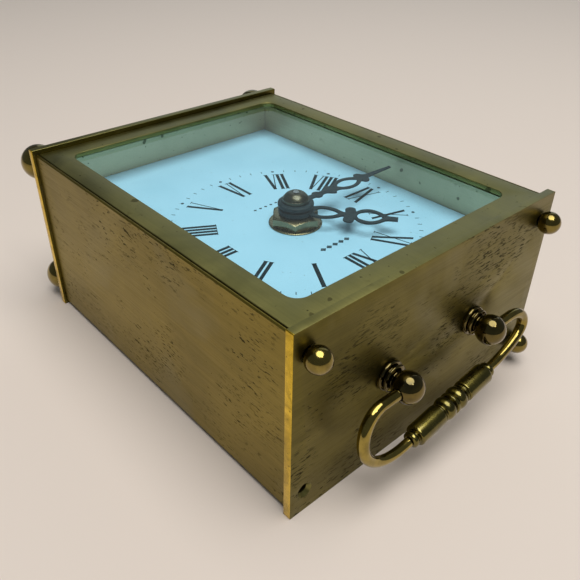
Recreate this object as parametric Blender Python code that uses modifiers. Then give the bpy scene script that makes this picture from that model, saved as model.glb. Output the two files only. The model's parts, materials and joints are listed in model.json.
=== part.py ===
"""Small brass carriage clock on its back: +X is the 3 o'clock side, +Y the handle end, +Z out of the dial."""

import math

import bmesh
import bpy
from mathutils import Matrix, Vector

MM = 0.001
GAP = 0.1 * MM

# Case
PLATE_WIDTH = 80.0 * MM
PLATE_DEPTH = 46.6 * MM
PLATE_THICKNESS = 1.9 * MM
PLATE_ROUNDING = 0.15 * MM
PLATE_OVERHANG = 1.1 * MM
CASE_HEIGHT = 99.2 * MM
INNER_HALF_HEIGHT = CASE_HEIGHT / 2 - PLATE_THICKNESS
CASE_BACK_Z = 1.0 * MM
CASE_FRONT_Z = PLATE_DEPTH - PLATE_OVERHANG
PANEL_OUTER_X = 39.2 * MM
PANEL_INNER_X = 34.95 * MM
PANEL_LIP = 0.5 * MM
PANEL_HALF_HEIGHT = INNER_HALF_HEIGHT - GAP

# Sheets that lie in the walls' rebates, and inserts that lie between the walls
SHEET_SEAT = 1.3 * MM
SHEET_THICKNESS = 1.2 * MM
SHEET_HALF_WIDTH = PANEL_OUTER_X - PANEL_LIP - 0.35 * MM
SHEET_HALF_HEIGHT = INNER_HALF_HEIGHT - 0.3 * MM
WINDOW_HALF_WIDTH = 32.6 * MM
WINDOW_HALF_HEIGHT = 42.0 * MM
WINDOW_CORNER = 3.0 * MM
INSERT_HALF_WIDTH = PANEL_INNER_X - 0.15 * MM
INSERT_HALF_HEIGHT = INNER_HALF_HEIGHT - 0.2 * MM
GLASS_THICKNESS = 0.9 * MM
GLASS_TOP = CASE_FRONT_Z - SHEET_THICKNESS - GAP
GLASS_BOTTOM = GLASS_TOP - GLASS_THICKNESS
RETAINER_WIDTH = 0.7 * MM
RETAINER_THICKNESS = 0.9 * MM
RETAINER_TOP = GLASS_BOTTOM - GAP
RETAINER_BOTTOM = RETAINER_TOP - RETAINER_THICKNESS

# Back cover
COVER_OPENING_HALF_WIDTH = 31.0 * MM
COVER_OPENING_LOW = -34.0 * MM
COVER_OPENING_HIGH = 32.0 * MM
COVER_OPENING_CORNER = 2.0 * MM
COVER_SCREW_X = 36.6 * MM
COVER_SCREW_Y = 30.0 * MM
COVER_HOLE_RADIUS = 1.0 * MM
COVER_TAP_RADIUS = 0.9 * MM
COVER_TAP_DEPTH = 6.5 * MM
SCREW_HEAD_RADIUS = 1.7 * MM
SCREW_SHANK_RADIUS = 0.75 * MM
SCREW_LENGTH = 5.5 * MM
SCREW_SLOT_WIDTH = 0.4 * MM

# Corner screws and feet
CORNER_X = 36.2 * MM
CORNER_Z = (5.9 * MM, 40.7 * MM)
CORNER_HOLE_RADIUS = 1.15 * MM
COUNTERSINK_RADIUS = 1.9 * MM
COUNTERSINK_DEPTH = COUNTERSINK_RADIUS - CORNER_HOLE_RADIUS
PANEL_BORE_RADIUS = 1.1 * MM
PANEL_BORE_DEPTH = 10.0 * MM
BALL_RADIUS = 2.6 * MM
BALL_SINK = 0.5 * MM
FOOT_RADIUS = 4.6 * MM
FOOT_COLLAR_RADIUS = 2.4 * MM
FOOT_COLLAR_HEIGHT = 0.7 * MM
CORNER_SHANK_RADIUS = 0.95 * MM
CORNER_SHANK_LENGTH = 9.5 * MM

# Handle posts
POST_X = 14.0 * MM
HANDLE_Z = PLATE_DEPTH / 2
HANDLE_HEIGHT = 5.2 * MM
POST_BALL_RADIUS = 3.45 * MM
POST_HOLE_RADIUS = 1.6 * MM
POST_STUD_RADIUS = 1.4 * MM
POST_STUD_LENGTH = PLATE_THICKNESS + 3.2 * MM
POST_NUT_RADIUS = 2.9 * MM
POST_NUT_THICKNESS = 2.0 * MM
PIVOT_HOLE_RADIUS = 1.4 * MM
PIVOT_HOLE_LENGTH = 6.4 * MM

# Handle, in its own plane: across from its middle, and down from its pivots
WIRE_RADIUS = 1.3 * MM
WIRE_END_X = 12.4 * MM
BAIL_HALF_WIDTH = 27.3 * MM
BAIL_DROP = 11.9 * MM
BAIL_WIDEST_DROP = 5.3 * MM
BAIL_UPPER_BEND_X = 21.5 * MM
BAIL_LOWER_BEND_X = 15.0 * MM
BAIL_SKEW = 0.125
BAIL_HANG_ANGLE = math.radians(9.5)
GRIP_HALF_LENGTH = 14.0 * MM

# Dial, hands and the stack at the dial's centre
DIAL_Z = 34.8 * MM
DIAL_THICKNESS = 0.8 * MM
DIAL_BACK_Z = DIAL_Z - DIAL_THICKNESS
DIAL_HOLE_RADIUS = 3.6 * MM
CENTRE = (0.0, 6.35 * MM)
STRIP_WIDTH = 0.9 * MM
REST_WIDTH = 5.8 * MM
REST_THICKNESS = 3.9 * MM
WASHER_RADIUS = 6.5 * MM
WASHER_TOP = 0.4 * MM
NUT_RADIUS = 6.25 * MM
NUT_TOP = 2.75 * MM
NUT_TURN = math.radians(47)
CAP_BOTTOM = 5.95 * MM
CAP_RADIUS = 3.25 * MM
CAP_HEIGHT = 2.3 * MM
HOUR_HAND_ANGLE = math.radians(322.5)
MINUTE_HAND_ANGLE = math.radians(270.8)

# Movement case
MOVEMENT_HALF_WIDTH = 30.0 * MM
MOVEMENT_LOW_Y = -33.0 * MM
MOVEMENT_HIGH_Y = 31.0 * MM
MOVEMENT_BACK_Z = 2.6 * MM
MOVEMENT_SPLIT_Z = 19.1 * MM
MOVEMENT_FRONT_Z = DIAL_BACK_Z - 0.3 * MM
SHELL_WALL = 1.4 * MM
CAVITY_HALF_WIDTH = MOVEMENT_HALF_WIDTH - SHELL_WALL
BUSH_RADIUS = 3.4 * MM
BUSH_BORE_RADIUS = 2.6 * MM
BUSH_TOP_Z = DIAL_Z + 2.3 * MM
BUSH_CLEARANCE = 0.15 * MM

# Battery and its lid
BATTERY_RADIUS = 7.0 * MM
BATTERY_HALF_LENGTH = 24.0 * MM
BATTERY_BUTTON_RADIUS = 2.6 * MM
BATTERY_BUTTON_HEIGHT = 1.2 * MM
BATTERY_Y = -19.0 * MM
BATTERY_Z = 10.8 * MM
CONTACT_THICKNESS = 0.4 * MM
TROUGH_HALF_LENGTH = 26.6 * MM
TROUGH_HALF_WIDTH = 7.8 * MM
LID_HALF_LENGTH = 27.6 * MM
LID_LOW_Y = BATTERY_Y - 9.0 * MM
LID_HIGH_Y = BATTERY_Y + 9.1 * MM
LID_THICKNESS = 0.8 * MM
LID_SIDE_GAP = 0.3 * MM
LID_RIDGES = 3
LID_RIDGE_PITCH = 1.6 * MM

# Arbors and the two plates that carry them
MINUTE_ARBOR_RADIUS = 0.75 * MM
HOUR_PIPE_RADIUS = 2.5 * MM
HOUR_PIPE_TOP = DIAL_Z + 4.25 * MM
FRICTION_FIT = 0.05 * MM
PIVOT_RADIUS = 0.42 * MM
PIVOT_CLEARANCE = 0.08 * MM
STEM_RADIUS = 1.0 * MM
STEM_HOLE_RADIUS = 1.1 * MM
PLATE_SHEET = 0.8 * MM
TRAIN_BRIDGE_Z = 21.0 * MM
MIDDLE_PLATE_Z = 27.2 * MM
TRAIN_ARBOR_LOW = TRAIN_BRIDGE_Z + 0.1 * MM
TRAIN_ARBOR_HIGH = MIDDLE_PLATE_Z + 0.7 * MM
POCKET_BOTTOM = 32.0 * MM
POCKET_TOP = 32.9 * MM
POCKET_ARBOR_TOP = 32.7 * MM

# Gearing: teeth and modules
SMALL_PINION = 6
SET_PINION = 8
MINUTE_TEETH = 24
HOUR_TEETH = 32
CENTRE_TEETH = 45
THIRD_TEETH = 48
SECONDS_TEETH = 36
STEP_TEETH = 30
MOTION_MODULE = 0.4 * MM
HOUR_MODULE = 0.32 * MM
THIRD_MODULE = 0.28 * MM
FINE_MODULE = 0.22 * MM
ROTOR_MODULE = 0.2 * MM


def place_from(start, distance, degrees):
    angle = math.radians(degrees)
    return (start[0] + distance * math.cos(angle), start[1] + distance * math.sin(angle))


def mesh_distance(teeth, other_teeth, module):
    """Distance between the arbors of two wheels that mesh."""
    return (teeth + other_teeth) * module / 2


# Gearing: places of the arbors
MINUTE_PLACE = place_from(CENTRE, mesh_distance(SET_PINION, MINUTE_TEETH, MOTION_MODULE), 180)
SET_PLACE = place_from(MINUTE_PLACE, mesh_distance(SET_PINION, MINUTE_TEETH, MOTION_MODULE), 225)
THIRD_PLACE = place_from(CENTRE, mesh_distance(CENTRE_TEETH, SMALL_PINION, THIRD_MODULE), 30)
SECONDS_PLACE = place_from(THIRD_PLACE, mesh_distance(THIRD_TEETH, SMALL_PINION, FINE_MODULE), 90)
STEP_PLACE = place_from(SECONDS_PLACE, mesh_distance(SECONDS_TEETH, SMALL_PINION, FINE_MODULE), 150)
ROTOR_PLACE = place_from(STEP_PLACE, mesh_distance(STEP_TEETH, SMALL_PINION, ROTOR_MODULE), 180)
TRAIN_PLACES = (THIRD_PLACE, SECONDS_PLACE, STEP_PLACE, ROTOR_PLACE)

# Setting knob
KNOB_RADIUS = 5.0 * MM
KNOB_GROOVES = 8
KNOB_GROOVE_RADIUS = 0.4 * MM
KNOB_GROOVE_TURN = 9

# Step motor and circuit
STATOR_BOTTOM = 23.0 * MM
STATOR_THICKNESS = 0.8 * MM
STATOR_HALF_BAR = 2.4 * MM
STATOR_LIMB = 3.0 * MM
STATOR_LENGTH = 16.6 * MM
STATOR_REACH = 8.0 * MM
ROTOR_HOLE_RADIUS = 1.8 * MM
MAGNET_RADIUS = 1.4 * MM
MAGNET_Z = 23.3 * MM
CORE_RADIUS = 0.9 * MM
CORE_Z = 24.4 * MM
COIL_RADIUS = 2.3 * MM
COIL_LENGTH = 10.6 * MM
BOARD_LOW = (-26.0 * MM, -24.0 * MM, 21.9 * MM)
BOARD_HIGH = (2.0 * MM, -8.0 * MM, 22.9 * MM)
CRYSTAL_RADIUS = 1.1 * MM

# Colour, roughness and metallic value of each material
MATERIALS = {
    "brushed_brass": ((0.26, 0.19, 0.07), 0.42, 1.0),
    "satin_brass": ((0.24, 0.22, 0.09), 0.45, 1.0),
    "polished_brass": ((0.50, 0.36, 0.10), 0.18, 1.0),
    "clear_glass": ((0.90, 0.96, 0.95), 0.03, 0.0),
    "white_dial": ((0.62, 0.80, 0.86), 0.50, 0.0),
    "black_steel": ((0.02, 0.03, 0.035), 0.35, 0.6),
    "black_plastic": ((0.02, 0.02, 0.02), 0.45, 0.0),
    "white_plastic": ((0.75, 0.73, 0.68), 0.45, 0.0),
    "steel": ((0.45, 0.45, 0.46), 0.30, 1.0),
    "copper": ((0.55, 0.22, 0.09), 0.35, 1.0),
    "circuit_green": ((0.02, 0.16, 0.06), 0.50, 0.0),
    "battery_wrap": ((0.05, 0.07, 0.16), 0.35, 0.0),
}


def clear_scene():
    for item in list(bpy.data.objects):
        bpy.data.objects.remove(item, do_unlink=True)


def make_collection(name):
    collection = bpy.data.collections.new(name)
    bpy.context.scene.collection.children.link(collection)
    return collection


def make_material(name):
    colour, roughness, metallic = MATERIALS[name]
    material = bpy.data.materials.new(name)
    material.use_nodes = True
    shader = material.node_tree.nodes["Principled BSDF"]
    shader.inputs["Base Color"].default_value = (*colour, 1.0)
    shader.inputs["Roughness"].default_value = roughness
    shader.inputs["Metallic"].default_value = metallic
    material.diffuse_color = (*colour, 1.0)
    return material


clear_scene()
PARTS = make_collection("carriage_clock")
CUTTERS = make_collection("cutters")
SHADERS = {name: make_material(name) for name in MATERIALS}


def add_object(name, mesh, location=(0.0, 0.0, 0.0), material=None):
    """Link a part to the clock, or a shape without a material to the cutters."""
    item = bpy.data.objects.new(name, mesh)
    item.location = location
    if material:
        mesh.materials.append(SHADERS[material])
        PARTS.objects.link(item)
    else:
        CUTTERS.objects.link(item)
        item.hide_render = True
        item.display_type = "WIRE"
    return item


def smooth(mesh, angle=35):
    mesh.shade_smooth()
    mesh.set_sharp_from_angle(angle=math.radians(angle))


def bevel(item, width, segments=1):
    modifier = item.modifiers.new("rounded edges", "BEVEL")
    modifier.width = width
    modifier.segments = segments
    modifier.limit_method = "ANGLE"


def boolean(item, other, operation):
    modifier = item.modifiers.new(f"{operation.lower()} {other.name}", "BOOLEAN")
    modifier.operation = operation
    modifier.object = other
    modifier.solver = "EXACT"


def cut(item, *cutters):
    for cutter in cutters:
        boolean(item, cutter, "DIFFERENCE")


def join(item, *others):
    for other in others:
        boolean(item, other, "UNION")


def box(name, low, high, material=None):
    """A box between two opposite corners, with its origin in the middle."""
    low, high = Vector(low), Vector(high)
    shape = bmesh.new()
    bmesh.ops.create_cube(shape, size=1.0)
    bmesh.ops.scale(shape, vec=high - low, verts=shape.verts)
    mesh = bpy.data.meshes.new(name)
    shape.to_mesh(mesh)
    shape.free()
    return add_object(name, mesh, (low + high) / 2, material)


def cylinder(name, centre, radius, length, axis="Z", material=None, segments=24):
    shape = bmesh.new()
    bmesh.ops.create_cone(shape, cap_ends=True, segments=segments, radius1=radius, radius2=radius,
                          depth=length)
    bmesh.ops.rotate(shape, matrix=axis_rotation(axis), verts=shape.verts)
    mesh = bpy.data.meshes.new(name)
    shape.to_mesh(mesh)
    shape.free()
    smooth(mesh)
    return add_object(name, mesh, centre, material)


def axis_rotation(axis):
    """Turn a shape made along +Z to lie along the named axis."""
    turns = {
        "Z": Matrix.Identity(3),
        "-Z": Matrix.Rotation(math.pi, 3, "X"),
        "X": Matrix.Rotation(math.pi / 2, 3, "Y"),
        "-X": Matrix.Rotation(-math.pi / 2, 3, "Y"),
        "Y": Matrix.Rotation(-math.pi / 2, 3, "X"),
        "-Y": Matrix.Rotation(math.pi / 2, 3, "X"),
    }
    return turns[axis]


def turned(name, profile, location, axis="Z", material=None, segments=16, ring=False):
    """Spin a profile of (radius, height) points, from the top down its outer side, about the named axis."""
    mesh = bpy.data.meshes.new(name)
    points = [(radius, 0.0, height) for radius, height in profile]
    edges = [(index, index + 1) for index in range(len(points) - 1)]
    if ring:
        edges.append((len(points) - 1, 0))
    mesh.from_pydata(points, edges, [])
    item = add_object(name, mesh, location, material)
    item.rotation_euler = axis_rotation(axis).to_euler()
    screw = item.modifiers.new("turning", "SCREW")
    screw.axis = "Z"
    screw.steps = segments
    screw.render_steps = segments
    screw.use_merge_vertices = True
    screw.merge_threshold = 0.00001
    screw.use_smooth_shade = True
    return item


def washer_profile(outer, inner, bottom, top):
    return [(outer, top), (outer, bottom), (inner, bottom), (inner, top)]


def ball_points(radius, centre, start, end, steps):
    """Points of a ball's outline from one polar angle to another, measured from its top."""
    angles = [math.radians(start + (end - start) * index / steps) for index in range(steps + 1)]
    return [(radius * math.sin(angle), centre + radius * math.cos(angle)) for angle in angles]


def mesh_from_curve(curve_item, name):
    """Turn a curve into a closed mesh and remove the curve."""
    bpy.context.view_layer.update()
    evaluated = curve_item.evaluated_get(bpy.context.evaluated_depsgraph_get())
    mesh = bpy.data.meshes.new_from_object(evaluated)
    mesh.name = name
    mesh.materials.clear()
    shape = bmesh.new()
    shape.from_mesh(mesh)
    bmesh.ops.remove_doubles(shape, verts=shape.verts, dist=0.000001)
    bmesh.ops.recalc_face_normals(shape, faces=shape.faces)
    shape.to_mesh(mesh)
    shape.free()
    bpy.data.objects.remove(curve_item, do_unlink=True)
    return mesh


def prism(name, outlines, bottom, top, material=None, place=(0.0, 0.0), turn=None):
    """Extrude closed outlines, the first outside and the rest as holes, between two heights."""
    curve = bpy.data.curves.new(name, "CURVE")
    curve.dimensions = "2D"
    curve.fill_mode = "BOTH"
    curve.extrude = (top - bottom) / 2
    for outline in outlines:
        spline = curve.splines.new("POLY")
        spline.points.add(len(outline) - 1)
        for point, (x, y) in zip(spline.points, outline):
            point.co = (x, y, 0.0, 1.0)
        spline.use_cyclic_u = True
    curve_item = bpy.data.objects.new(name, curve)
    CUTTERS.objects.link(curve_item)
    mesh = mesh_from_curve(curve_item, name)
    smooth(mesh)
    middle = (*place, (top + bottom) / 2)
    item = add_object(name, mesh, middle, material)
    if turn:
        item.matrix_world = turn @ Matrix.Translation(middle)
    return item


def rectangle(half_width, half_height, corner=0.0, steps=4, centre=(0.0, 0.0)):
    """A rectangle's outline, with round corners when a corner radius is given."""
    if not corner:
        signs = ((1, 1), (-1, 1), (-1, -1), (1, -1))
        return [(centre[0] + half_width * sx, centre[1] + half_height * sy) for sx, sy in signs]
    points = []
    for quarter, (sx, sy) in enumerate(((1, 1), (-1, 1), (-1, -1), (1, -1))):
        for step in range(steps + 1):
            angle = math.radians(90 * (quarter + step / steps))
            x = centre[0] + sx * (half_width - corner) + corner * math.cos(angle)
            y = centre[1] + sy * (half_height - corner) + corner * math.sin(angle)
            points.append((x, y))
    return points


def circle(radius, segments=24, centre=(0.0, 0.0)):
    angles = [2 * math.pi * index / segments for index in range(segments)]
    return [(centre[0] + radius * math.cos(angle), centre[1] + radius * math.sin(angle)) for angle in angles]


def smooth_line(points, steps=3):
    """Points along a Catmull-Rom curve through the given points, ends included."""
    padded = [points[0], *points, points[-1]]
    result = []
    for before, start, end, after in zip(padded, padded[1:], padded[2:], padded[3:]):
        for step in range(steps):
            t = step / steps
            value = []
            for a, b, c, d in zip(before, start, end, after):
                value.append(0.5 * (2 * b + (c - a) * t + (2 * a - 5 * b + 4 * c - d) * t * t
                                    + (3 * b - a - 3 * c + d) * t ** 3))
            result.append(tuple(value))
    result.append(points[-1])
    return result


def mirrored(half):
    """Close an outline from one half, given as (distance along, half width), about the distance axis."""
    return [(width, along) for along, width in half] + [(-width, along) for along, width in reversed(half)]


# ---------------------------------------------------------------- case

def make_plates():
    """Top and bottom plates; the top one is countersunk for its ball screws and holds the handle posts."""
    for name, side in (("top_plate", 1), ("bottom_plate", -1)):
        inner = side * INNER_HALF_HEIGHT
        outer = side * CASE_HEIGHT / 2
        plate = box(name, (-PLATE_WIDTH / 2, min(inner, outer), 0.0),
                    (PLATE_WIDTH / 2, max(inner, outer), PLATE_DEPTH), "brushed_brass")
        bevel(plate, PLATE_ROUNDING)
        for x in (CORNER_X, -CORNER_X):
            for z in CORNER_Z:
                cut(plate, corner_hole(f"{name}_hole", side, x, z))
        if side > 0:
            for x in (POST_X, -POST_X):
                centre = (x, outer, HANDLE_Z)
                cut(plate, cylinder("post_hole", centre, POST_HOLE_RADIUS, 6 * PLATE_THICKNESS, "Y",
                                    segments=16))


def corner_hole(name, side, x, z):
    """A through hole, with a countersink on the outer face of the top plate."""
    reach = 2 * PLATE_THICKNESS
    profile = [(0.0, reach), (CORNER_HOLE_RADIUS, reach), (CORNER_HOLE_RADIUS, -reach), (0.0, -reach)]
    if side > 0:
        slope = COUNTERSINK_RADIUS - CORNER_HOLE_RADIUS
        profile[1:2] = [(COUNTERSINK_RADIUS + slope, reach), (COUNTERSINK_RADIUS + slope, slope),
                        (CORNER_HOLE_RADIUS, -COUNTERSINK_DEPTH)]
    return turned(name, profile, (x, side * CASE_HEIGHT / 2, z), "Y" if side > 0 else "-Y", segments=16)


def make_side_panels():
    """Two thick extruded walls, stepped along both edges for the front frame and the back cover."""
    top_z = CASE_FRONT_Z - GAP
    outline = [
        (PANEL_INNER_X, CASE_BACK_Z + SHEET_SEAT + GAP),
        (PANEL_OUTER_X - PANEL_LIP, CASE_BACK_Z + SHEET_SEAT + GAP),
        (PANEL_OUTER_X - PANEL_LIP, CASE_BACK_Z),
        (PANEL_OUTER_X, CASE_BACK_Z),
        (PANEL_OUTER_X, top_z),
        (PANEL_OUTER_X - PANEL_LIP, top_z),
        (PANEL_OUTER_X - PANEL_LIP, CASE_FRONT_Z - SHEET_SEAT),
        (PANEL_INNER_X, CASE_FRONT_Z - SHEET_SEAT),
    ]
    half = PANEL_HALF_HEIGHT
    for name, side in (("right_side_panel", 1), ("left_side_panel", -1)):
        shape = [(side * x, z) for x, z in outline]
        panel = prism(name, [shape], -half, half, "brushed_brass", turn=Matrix.Rotation(math.pi / 2, 4, "X"))
        for end in (1, -1):
            for z in CORNER_Z:
                centre = (side * CORNER_X, end * half, z)
                cut(panel, cylinder("panel_bore", centre, PANEL_BORE_RADIUS, 2 * PANEL_BORE_DEPTH, "Y",
                                    segments=12))
            tap_centre = (side * COVER_SCREW_X, end * COVER_SCREW_Y, CASE_BACK_Z)
            cut(panel, cylinder("cover_tap", tap_centre, COVER_TAP_RADIUS, 2 * COVER_TAP_DEPTH, segments=12))


def make_front():
    """Front frame, glass and the thin ring that keeps the glass up against the frame."""
    frame = [rectangle(SHEET_HALF_WIDTH, SHEET_HALF_HEIGHT),
             rectangle(WINDOW_HALF_WIDTH, WINDOW_HALF_HEIGHT, WINDOW_CORNER)]
    prism("front_frame", frame, CASE_FRONT_Z - SHEET_THICKNESS, CASE_FRONT_Z, "satin_brass")
    box("glass", (-INSERT_HALF_WIDTH, -INSERT_HALF_HEIGHT, GLASS_BOTTOM),
        (INSERT_HALF_WIDTH, INSERT_HALF_HEIGHT, GLASS_TOP), "clear_glass")
    ring = [rectangle(INSERT_HALF_WIDTH, INSERT_HALF_HEIGHT),
            rectangle(INSERT_HALF_WIDTH - RETAINER_WIDTH, INSERT_HALF_HEIGHT - RETAINER_WIDTH)]
    prism("glass_retainer", ring, RETAINER_BOTTOM, RETAINER_TOP, "satin_brass")


def make_dial():
    """Dial sheet, the strips that hold it down at both ends and the bars behind it."""
    sheet = [rectangle(INSERT_HALF_WIDTH, INSERT_HALF_HEIGHT), circle(DIAL_HOLE_RADIUS, 24, CENTRE)]
    prism("dial", sheet, DIAL_BACK_Z, DIAL_Z, "white_dial")
    strip_top = RETAINER_BOTTOM - GAP
    rest_top = DIAL_BACK_Z - GAP
    for name, side in (("top", 1), ("bottom", -1)):
        end_bar(f"dial_strip_{name}", side, STRIP_WIDTH, DIAL_Z + GAP, strip_top, "satin_brass")
        end_bar(f"dial_rest_{name}", side, REST_WIDTH, rest_top - REST_THICKNESS, rest_top, "black_plastic")


def end_bar(name, side, width, bottom, top, material):
    """A bar across the case against its top plate (side 1) or bottom plate (side -1)."""
    low, high = sorted((side * (INSERT_HALF_HEIGHT - width), side * INSERT_HALF_HEIGHT))
    box(name, (-INSERT_HALF_WIDTH, low, bottom), (INSERT_HALF_WIDTH, high, top), material)


def make_back():
    """Back cover sheet with the opening for the movement, and its four screws."""
    opening_y = (COVER_OPENING_HIGH + COVER_OPENING_LOW) / 2
    opening_half = (COVER_OPENING_HIGH - COVER_OPENING_LOW) / 2
    places = [(sx * COVER_SCREW_X, sy * COVER_SCREW_Y) for sx in (1, -1) for sy in (1, -1)]
    outlines = [rectangle(SHEET_HALF_WIDTH, SHEET_HALF_HEIGHT),
                rectangle(COVER_OPENING_HALF_WIDTH, opening_half, COVER_OPENING_CORNER,
                          centre=(0.0, opening_y))]
    outlines += [circle(COVER_HOLE_RADIUS, 12, place) for place in places]
    bottom = CASE_BACK_Z + GAP
    prism("back_cover", outlines, bottom, bottom + SHEET_THICKNESS, "satin_brass")
    for index, place in enumerate(places, 1):
        make_cover_screw(f"back_cover_screw_{index}", place, bottom)


def make_cover_screw(name, place, cover_bottom):
    """Domed, slotted screw that points up into the wall."""
    x, y = place
    rim = 0.05 * MM
    dome = [(0.0, 0.5 * MM), (0.9 * MM, 0.42 * MM), (SCREW_HEAD_RADIUS, rim), (SCREW_HEAD_RADIUS, -rim)]
    shank = [(SCREW_SHANK_RADIUS, -rim), (SCREW_SHANK_RADIUS, -SCREW_LENGTH), (0.0, -SCREW_LENGTH)]
    seat = cover_bottom - rim - GAP
    screw = turned(name, dome + shank, (x, y, seat), "-Z", "steel", 12)
    half_length = SCREW_HEAD_RADIUS + 0.3 * MM
    half_width = SCREW_SLOT_WIDTH / 2
    slot = box("screw_slot", (x - half_length, y - half_width, cover_bottom - 1.0 * MM),
               (x + half_length, y + half_width, cover_bottom - 0.4 * MM))
    cut(screw, slot)


def make_corner_screws():
    """Ball screws in three top corners, with the fourth hole left open, and four ball feet."""
    seat = CASE_HEIGHT / 2
    back, front = CORNER_Z
    balls = {
        "front_right": (CORNER_X, front),
        "front_left": (-CORNER_X, front),
        "back_left": (-CORNER_X, back),
    }
    profile = ball_points(BALL_RADIUS, BALL_RADIUS - BALL_SINK, 0, 148, 7) + corner_shank(-GAP)
    for name, (x, z) in balls.items():
        turned(f"ball_screw_{name}", profile, (x, seat, z), "Y", "polished_brass")
    collar = [(FOOT_COLLAR_RADIUS, FOOT_COLLAR_HEIGHT), (FOOT_COLLAR_RADIUS, GAP)]
    profile = ball_points(FOOT_RADIUS, FOOT_RADIUS + GAP, 0, 148, 7) + collar + corner_shank(GAP)
    for x, column in ((CORNER_X, "right"), (-CORNER_X, "left")):
        for z, row in ((front, "front"), (back, "back")):
            turned(f"ball_foot_{row}_{column}", profile, (x, -seat, z), "-Y", "polished_brass")


def corner_shank(top):
    end = -CORNER_SHANK_LENGTH
    return [(CORNER_SHANK_RADIUS, top), (CORNER_SHANK_RADIUS, end), (0.0, end)]


# ---------------------------------------------------------------- handle

def make_handle_posts():
    """Spool and ball posts screwed through the top plate, each with a nut inside the case."""
    seat = CASE_HEIGHT / 2
    spool = [(2.3, 2.4), (3.1, 2.1), (3.2, 1.6), (2.5, 1.35), (2.5, 1.1), (3.4, 0.9), (3.5, 0.3), (3.4, 0.1)]
    stud = [(POST_STUD_RADIUS, GAP), (POST_STUD_RADIUS, -POST_STUD_LENGTH), (0.0, -POST_STUD_LENGTH)]
    profile = ball_points(POST_BALL_RADIUS, HANDLE_HEIGHT, 0, 136, 7)
    profile += [(radius * MM, height * MM) for radius, height in spool] + stud
    socket_x = WIRE_END_X - 0.3 * MM + PIVOT_HOLE_LENGTH / 2
    nut = [circle(POST_NUT_RADIUS, 6), circle(POST_STUD_RADIUS + GAP, 12)]
    nut_half = POST_NUT_THICKNESS / 2
    nut_y = INNER_HALF_HEIGHT - 0.15 * MM - nut_half
    for name, side in (("right", 1), ("left", -1)):
        post = turned(f"handle_post_{name}", profile, (side * POST_X, seat, HANDLE_Z), "Y", "polished_brass")
        socket = (side * socket_x, seat + HANDLE_HEIGHT, HANDLE_Z)
        cut(post, cylinder("pivot_socket", socket, PIVOT_HOLE_RADIUS, PIVOT_HOLE_LENGTH, "X", segments=16))
        turn = Matrix.Translation((side * POST_X, nut_y, HANDLE_Z)) @ Matrix.Rotation(math.pi / 2, 4, "X")
        prism(f"handle_post_nut_{name}", nut, -nut_half, nut_half, "steel", turn=turn)


def bail_path(side):
    """An arm's line: out of its ball, round a bow in two quarter arcs and back to the skewed grip."""
    path = [(WIRE_END_X, 0.0), (17.0 * MM, 0.0)]
    for step in range(7):
        angle = math.radians(90 * step / 6)
        path.append((BAIL_UPPER_BEND_X + (BAIL_HALF_WIDTH - BAIL_UPPER_BEND_X) * math.sin(angle),
                     BAIL_WIDEST_DROP * (1 - math.cos(angle))))
    for step in range(1, 8):
        angle = math.radians(90 * step / 7)
        path.append((BAIL_LOWER_BEND_X + (BAIL_HALF_WIDTH - BAIL_LOWER_BEND_X) * math.cos(angle),
                     BAIL_WIDEST_DROP + (BAIL_DROP - BAIL_WIDEST_DROP) * math.sin(angle)))
    path.append((GRIP_HALF_LENGTH + 0.2 * MM, BAIL_DROP))
    return [(side * x, 0.0, -drop * (1 + side * BAIL_SKEW * x / BAIL_DROP)) for x, drop in path]


def make_handle():
    """Two bent wire arms and a turned grip, hanging together from the post balls."""
    pivot = bpy.data.objects.new("handle_pivot", None)
    pivot.location = (0.0, CASE_HEIGHT / 2 + HANDLE_HEIGHT, HANDLE_Z)
    pivot.rotation_euler = (BAIL_HANG_ANGLE, 0.0, 0.0)
    PARTS.objects.link(pivot)
    for name, side in (("handle_arm_right", 1), ("handle_arm_left", -1)):
        arm = add_object(name, wire_mesh(name, bail_path(side)), material="polished_brass")
        arm.parent = pivot
    grip = turned("handle_grip", grip_profile(), (0.0, 0.0, -BAIL_DROP), "X", "polished_brass")
    grip.rotation_euler = (0.0, math.pi / 2 + math.atan(BAIL_SKEW), 0.0)
    grip.parent = pivot


def wire_mesh(name, path):
    curve = bpy.data.curves.new(name, "CURVE")
    curve.dimensions = "3D"
    curve.bevel_depth = WIRE_RADIUS
    curve.bevel_resolution = 2
    curve.use_fill_caps = True
    spline = curve.splines.new("POLY")
    spline.points.add(len(path) - 1)
    for point, place in zip(spline.points, path):
        point.co = (*place, 1.0)
    curve_item = bpy.data.objects.new(name, curve)
    CUTTERS.objects.link(curve_item)
    mesh = mesh_from_curve(curve_item, name)
    smooth(mesh, 60)
    return mesh


def grip_profile():
    """Collar, barrel and bead down to a thin disc in the middle, and the same again, from millimetres."""
    half = [
        (0.0, 14.0), (1.8, 13.9), (1.8, 12.8), (1.5, 12.5), (2.35, 11.9), (2.35, 4.4),
        (1.8, 3.9), (2.3, 3.3), (2.65, 2.4), (2.4, 0.9), (2.1, 0.6), (2.5, 0.35),
    ]
    upper = [(radius * MM, along * MM) for radius, along in half]
    return upper + [(radius, -along) for radius, along in reversed(upper)]


# ---------------------------------------------------------------- hands

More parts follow.
